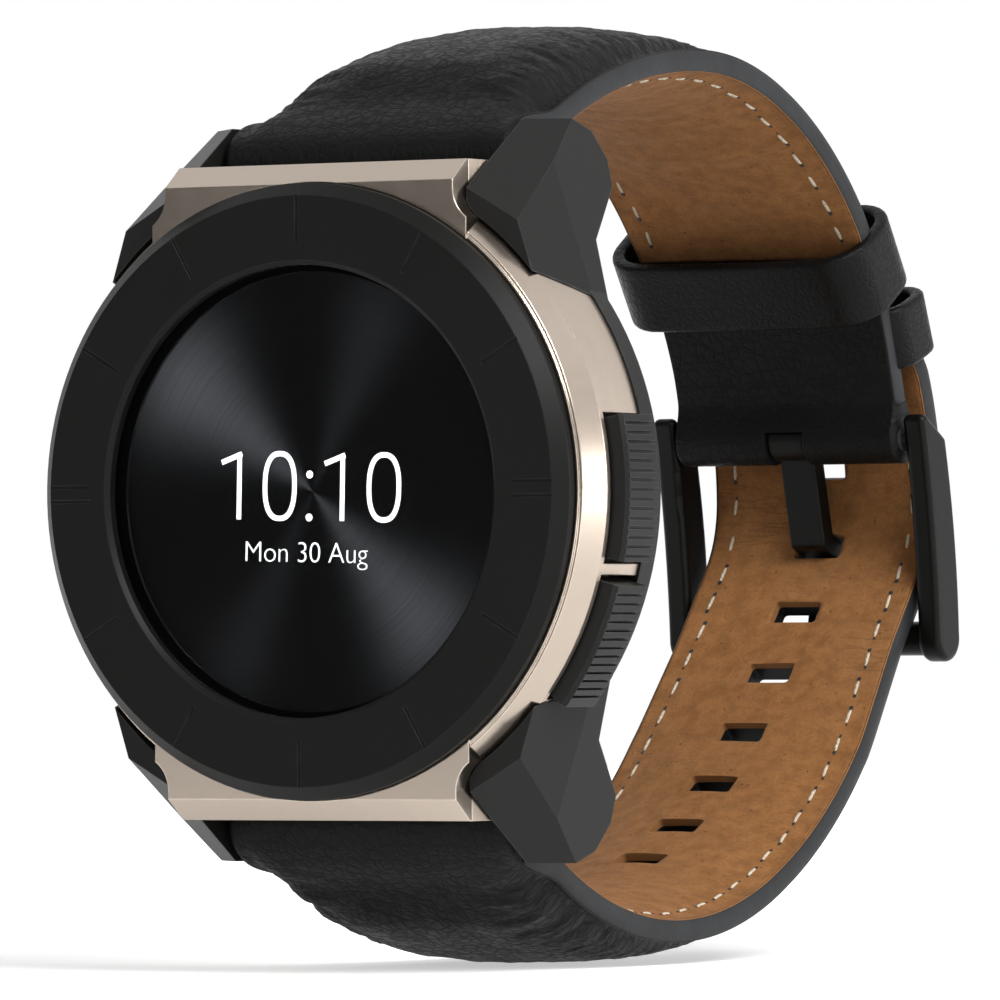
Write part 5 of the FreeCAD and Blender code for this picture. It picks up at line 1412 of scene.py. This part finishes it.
class WATCH_OT_keepers(bpy.types.Operator):
    """Make the sliding and the sewn leather keeper"""

    bl_idname = "watch.keepers"
    bl_label = "Keepers"

    def execute(self, context):
        settings = context.scene.watch_strap
        leather = black_leather("keeper_leather", settings, scale=1500.0, crease=0.35, on_strap=False,
                                depth=0.00003, gloss=0.36)
        free = keeper(inner=27.0 * MM, outer=35.3 * MM, half=10.8 * MM, reach=17.0 * MM, length=5.7 * MM,
                      bulge=0.6 * MM, corner=3.2 * MM, shift=-0.6 * MM)
        thing = finish_mesh(free, "sliding_keeper_loop", [leather], "sliding_loop")
        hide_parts("sliding_keeper")
        sewn = keeper(inner=30.3 * MM, outer=36.3 * MM, half=10.3 * MM, reach=12.5 * MM, length=4.6 * MM,
                      bulge=0.0, corner=2.3 * MM, shift=0.0)
        thing = finish_mesh(sewn, "sewn_keeper_loop", [leather], "band_rear")
        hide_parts("sewn_keeper")
        return {"FINISHED"}


def keeper(inner, outer, half, reach, length, bulge, corner, shift, wall=1.0 * MM):
    """A leather loop round the strap: a rounded band with soft rims, at a height on the loop."""
    bm = bmesh.new()
    ring = bmesh.ops.create_circle(bm, segments=120, radius=1.0)["verts"]
    middle, depth = (inner + outer) / 2, (outer - inner) / 2
    for vert in ring:
        angle = math.atan2(vert.co.y, vert.co.x)
        vert.co = Vector(rounded_box(angle, half, depth, corner)).to_3d()
    bmesh.ops.translate(bm, verts=ring, vec=(0.0, 0.0, -length / 2))
    edges = bm.edges[:]
    steps = 8
    for _ in range(steps):
        moved = bmesh.ops.extrude_edge_only(bm, edges=edges)["geom"]
        verts = [item for item in moved if isinstance(item, bmesh.types.BMVert)]
        edges = [item for item in moved if isinstance(item, bmesh.types.BMEdge)]
        bmesh.ops.translate(bm, verts=verts, vec=(0.0, 0.0, length / steps))
    for vert in bm.verts:
        if vert.co.y < 0:
            open_side = 0.5 + vert.co.z / length
            vert.co.y -= bulge * (1.0 - (vert.co.x / half) ** 2) * (0.35 + 0.65 * open_side)
    bmesh.ops.recalc_face_normals(bm, faces=bm.faces)
    bmesh.ops.solidify(bm, geom=bm.faces[:], thickness=wall)
    rims = [edge for edge in bm.edges if len(edge.link_faces) == 2 and edge.calc_face_angle() > 1.0]
    bmesh.ops.bevel(bm, geom=rims, offset=0.34 * MM, segments=4, profile=0.5, affect="EDGES", material=-1)
    angle = math.asin(reach / middle)
    radial = Vector((0.0, math.cos(angle), math.sin(angle)))
    tangent = Vector((0.0, -math.sin(angle), math.cos(angle)))
    axes = Matrix((Vector((1.0, 0.0, 0.0)), radial, tangent)).transposed().to_4x4()
    place = Matrix.Translation(LOOP_CENTRE + radial * middle + Vector((shift, 0.0, 0.0))) @ axes
    bmesh.ops.transform(bm, matrix=place, verts=bm.verts)
    return bm


def rounded_box(angle, half_wide, half_high, corner):
    """A point on a box outline with round corners, in the direction of an angle."""
    x, y = math.cos(angle), math.sin(angle)
    inner_x, inner_y = half_wide - corner, half_high - corner
    reach = min(half_wide / max(abs(x), 1e-9), half_high / max(abs(y), 1e-9))
    px, py = x * reach, y * reach
    if abs(px) > inner_x and abs(py) > inner_y:
        hub = Vector((math.copysign(inner_x, x), math.copysign(inner_y, y)))
        ray = Vector((x, y))
        ahead = hub.dot(ray)
        reach = ahead + math.sqrt(max(ahead ** 2 - hub.dot(hub) + corner ** 2, 0.0))
        px, py = x * reach, y * reach
    return px, py


class WATCH_OT_buckle(bpy.types.Operator):
    """Finish the buckle frame and its tang"""

    bl_idname = "watch.buckle"
    bl_label = "Buckle"

    def execute(self, context):
        settings = context.scene.watch_case
        # The colour after the roughness is the painted edge highlight on the rims, mixed with wear.
        finish = satin_metal("buckle_metal", settings.buckle_color, 0.36, (0.05, 0.05, 0.048, 1.0),
                             settings.edge_radius * 2.0, wear=0.5)
        wear("buckle_frame", finish)
        wear("buckle_tang", finish)
        return {"FINISHED"}


class WATCH_OT_studio(bpy.types.Operator):
    """Set the camera, the lamps, the floor and the backdrop"""

    bl_idname = "watch.studio"
    bl_label = "Studio"

    def execute(self, context):
        settings = context.scene.watch_studio
        set_camera(context.scene, settings)
        set_world(context.scene)
        set_lamps(context.scene)
        set_floor(context.scene)
        context.scene.view_settings.view_transform = "Standard"
        return {"FINISHED"}


def camera_axes(settings):
    """Right, up and towards-camera vectors."""
    azimuth, elevation, roll = settings.azimuth, settings.elevation, settings.roll
    back = Vector((math.sin(azimuth) * math.cos(elevation), -math.cos(azimuth) * math.cos(elevation),
                   math.sin(elevation)))
    right = Vector((math.cos(azimuth), math.sin(azimuth), 0.0))
    up = back.cross(right)
    return (right * math.cos(roll) + up * math.sin(roll), up * math.cos(roll) - right * math.sin(roll), back)


def set_camera(scene, settings):
    right, up, back = camera_axes(settings)
    dial = Vector((0.0, DIAL_FRONT, 0.0))
    place = dial + back * settings.distance
    aim = dial + right * settings.aim_right - up * settings.aim_down
    axis = (place - aim).normalized()
    side = up.cross(axis).normalized()
    top = axis.cross(side)
    data = bpy.data.cameras.new("camera")
    data.lens = settings.lens
    data.clip_start = 0.02
    data.clip_end = 20.0
    camera = bpy.data.objects.new("camera", data)
    camera.matrix_world = Matrix.Translation(place) @ Matrix((side, top, axis)).transposed().to_4x4()
    scene.collection.objects.link(camera)
    scene.camera = camera


def set_world(scene):
    """A pale room for what is seen and mirrored, dim at the front left, and an even fill for the rest."""
    world = bpy.data.worlds.new("studio")
    world.use_nodes = True
    scene.world = world
    nodes = Nodes(world.node_tree)
    plain = world.node_tree.nodes["Background"]
    path = nodes.add("ShaderNodeLightPath").outputs
    seen = nodes.math("MAXIMUM", path["Is Camera Ray"], path["Is Glossy Ray"])
    seen = nodes.math("MAXIMUM", seen, path["Is Transmission Ray"])
    direction = nodes.add("ShaderNodeTexCoord").outputs["Generated"]
    toward = nodes.add("ShaderNodeVectorMath", operation="DOT_PRODUCT")
    nodes.feed(toward.inputs[0], direction)
    toward.inputs[1].default_value = Vector((-0.52, -0.85, 0.0)).normalized()
    shade = nodes.remap(toward.outputs["Value"], 0.2, 0.85)
    dim = nodes.mix(shade, grey(1.0), grey(0.07))
    pale = nodes.mix(path["Is Camera Ray"], dim, grey(1.0))
    plain.inputs["Color"].default_value = grey(0.30)
    room = nodes.add("ShaderNodeBackground", {"Color": pale})
    mixed = nodes.add("ShaderNodeMixShader")
    nodes.feed(mixed.inputs[0], seen)
    nodes.feed(mixed.inputs[1], plain.outputs[0])
    nodes.feed(mixed.inputs[2], room.outputs[0])
    nodes.feed(world.node_tree.nodes["World Output"].inputs["Surface"], mixed.outputs[0])


def set_lamps(scene):
    for name, place, size, power in (("key", (0.42, -0.20, 0.42), 0.40, 4.4),
                                     ("side", (0.55, 0.25, -0.02), 0.40, 2.4),
                                     ("front", (-0.10, -0.60, 0.25), 0.45, 0.9)):
        data = bpy.data.lights.new(name, "AREA")
        data.shape = "DISK"
        data.size = size
        data.energy = power
        lamp = bpy.data.objects.new(name, data)
        aim = Vector(place) - Vector((0.0, 0.02, 0.0))
        lamp.matrix_world = Matrix.Translation(place) @ aim.to_track_quat("Z", "Y").to_matrix().to_4x4()
        scene.collection.objects.link(lamp)


def set_floor(scene):
    bm = bmesh.new()
    level = CAD_BOX[0][2] - 0.3 * MM
    bmesh.ops.create_circle(bm, cap_ends=True, segments=64, radius=1.2,
                            matrix=Matrix.Translation((0.0, 0.02, level)))
    mesh = bpy.data.meshes.new("floor")
    bm.to_mesh(mesh)
    bm.free()
    floor = bpy.data.objects.new("floor", mesh)
    scene.collection.objects.link(floor)
    material = bpy.data.materials.new("pale_floor")
    material.use_nodes = True
    nodes = Nodes(material.node_tree)
    shader = material.node_tree.nodes["Principled BSDF"]
    shader.inputs["Base Color"].default_value = grey(0.90)
    shader.inputs["Roughness"].default_value = 0.9
    shader.inputs["Specular IOR Level"].default_value = 0.0
    shader.inputs["Emission Color"].default_value = grey(1.0)
    path = nodes.add("ShaderNodeLightPath").outputs
    seen = nodes.math("MAXIMUM", path["Is Camera Ray"], path["Is Glossy Ray"])
    seen = nodes.math("MAXIMUM", seen, path["Is Transmission Ray"])
    place = nodes.add("ShaderNodeTexCoord").outputs["Object"]
    reach = nodes.add("ShaderNodeVectorMath", operation="LENGTH")
    nodes.feed(reach.inputs[0], place)
    far = nodes.remap(reach.outputs["Value"], 0.08, 0.25, 0.5, 1.0)
    nodes.feed(shader.inputs["Emission Strength"], nodes.times(seen, far))
    mesh.materials.append(material)


class WATCH_PT_panel(bpy.types.Panel):
    """The watch's steps, one button each, in the sidebar"""

    bl_idname = "WATCH_PT_panel"
    bl_label = "Smartwatch"
    bl_space_type = "VIEW_3D"
    bl_region_type = "UI"
    bl_category = "Watch"

    def draw(self, context):
        for operator in STEPS:
            self.layout.operator(operator.bl_idname)


STEPS = (WATCH_OT_case, WATCH_OT_inside, WATCH_OT_pushers, WATCH_OT_dial, WATCH_OT_strap,
         WATCH_OT_keepers, WATCH_OT_buckle, WATCH_OT_studio)
GROUPS = (("watch_strap", StrapSettings), ("watch_case", CaseSettings), ("watch_dial", DialSettings),
          ("watch_studio", StudioSettings))


def register():
    for word, group in GROUPS:
        bpy.utils.register_class(group)
        setattr(bpy.types.Scene, word, PointerProperty(type=group))
    for item in STEPS + (WATCH_PT_panel,):
        bpy.utils.register_class(item)


def unregister():
    for item in reversed(STEPS + (WATCH_PT_panel,)):
        bpy.utils.unregister_class(item)
    for word, group in reversed(GROUPS):
        delattr(bpy.types.Scene, word)
        bpy.utils.unregister_class(group)


def main():
    register()
    for operator in STEPS:
        group, word = operator.bl_idname.split(".")
        getattr(getattr(bpy.ops, group), word)()


if __name__ == "__main__":
    main()
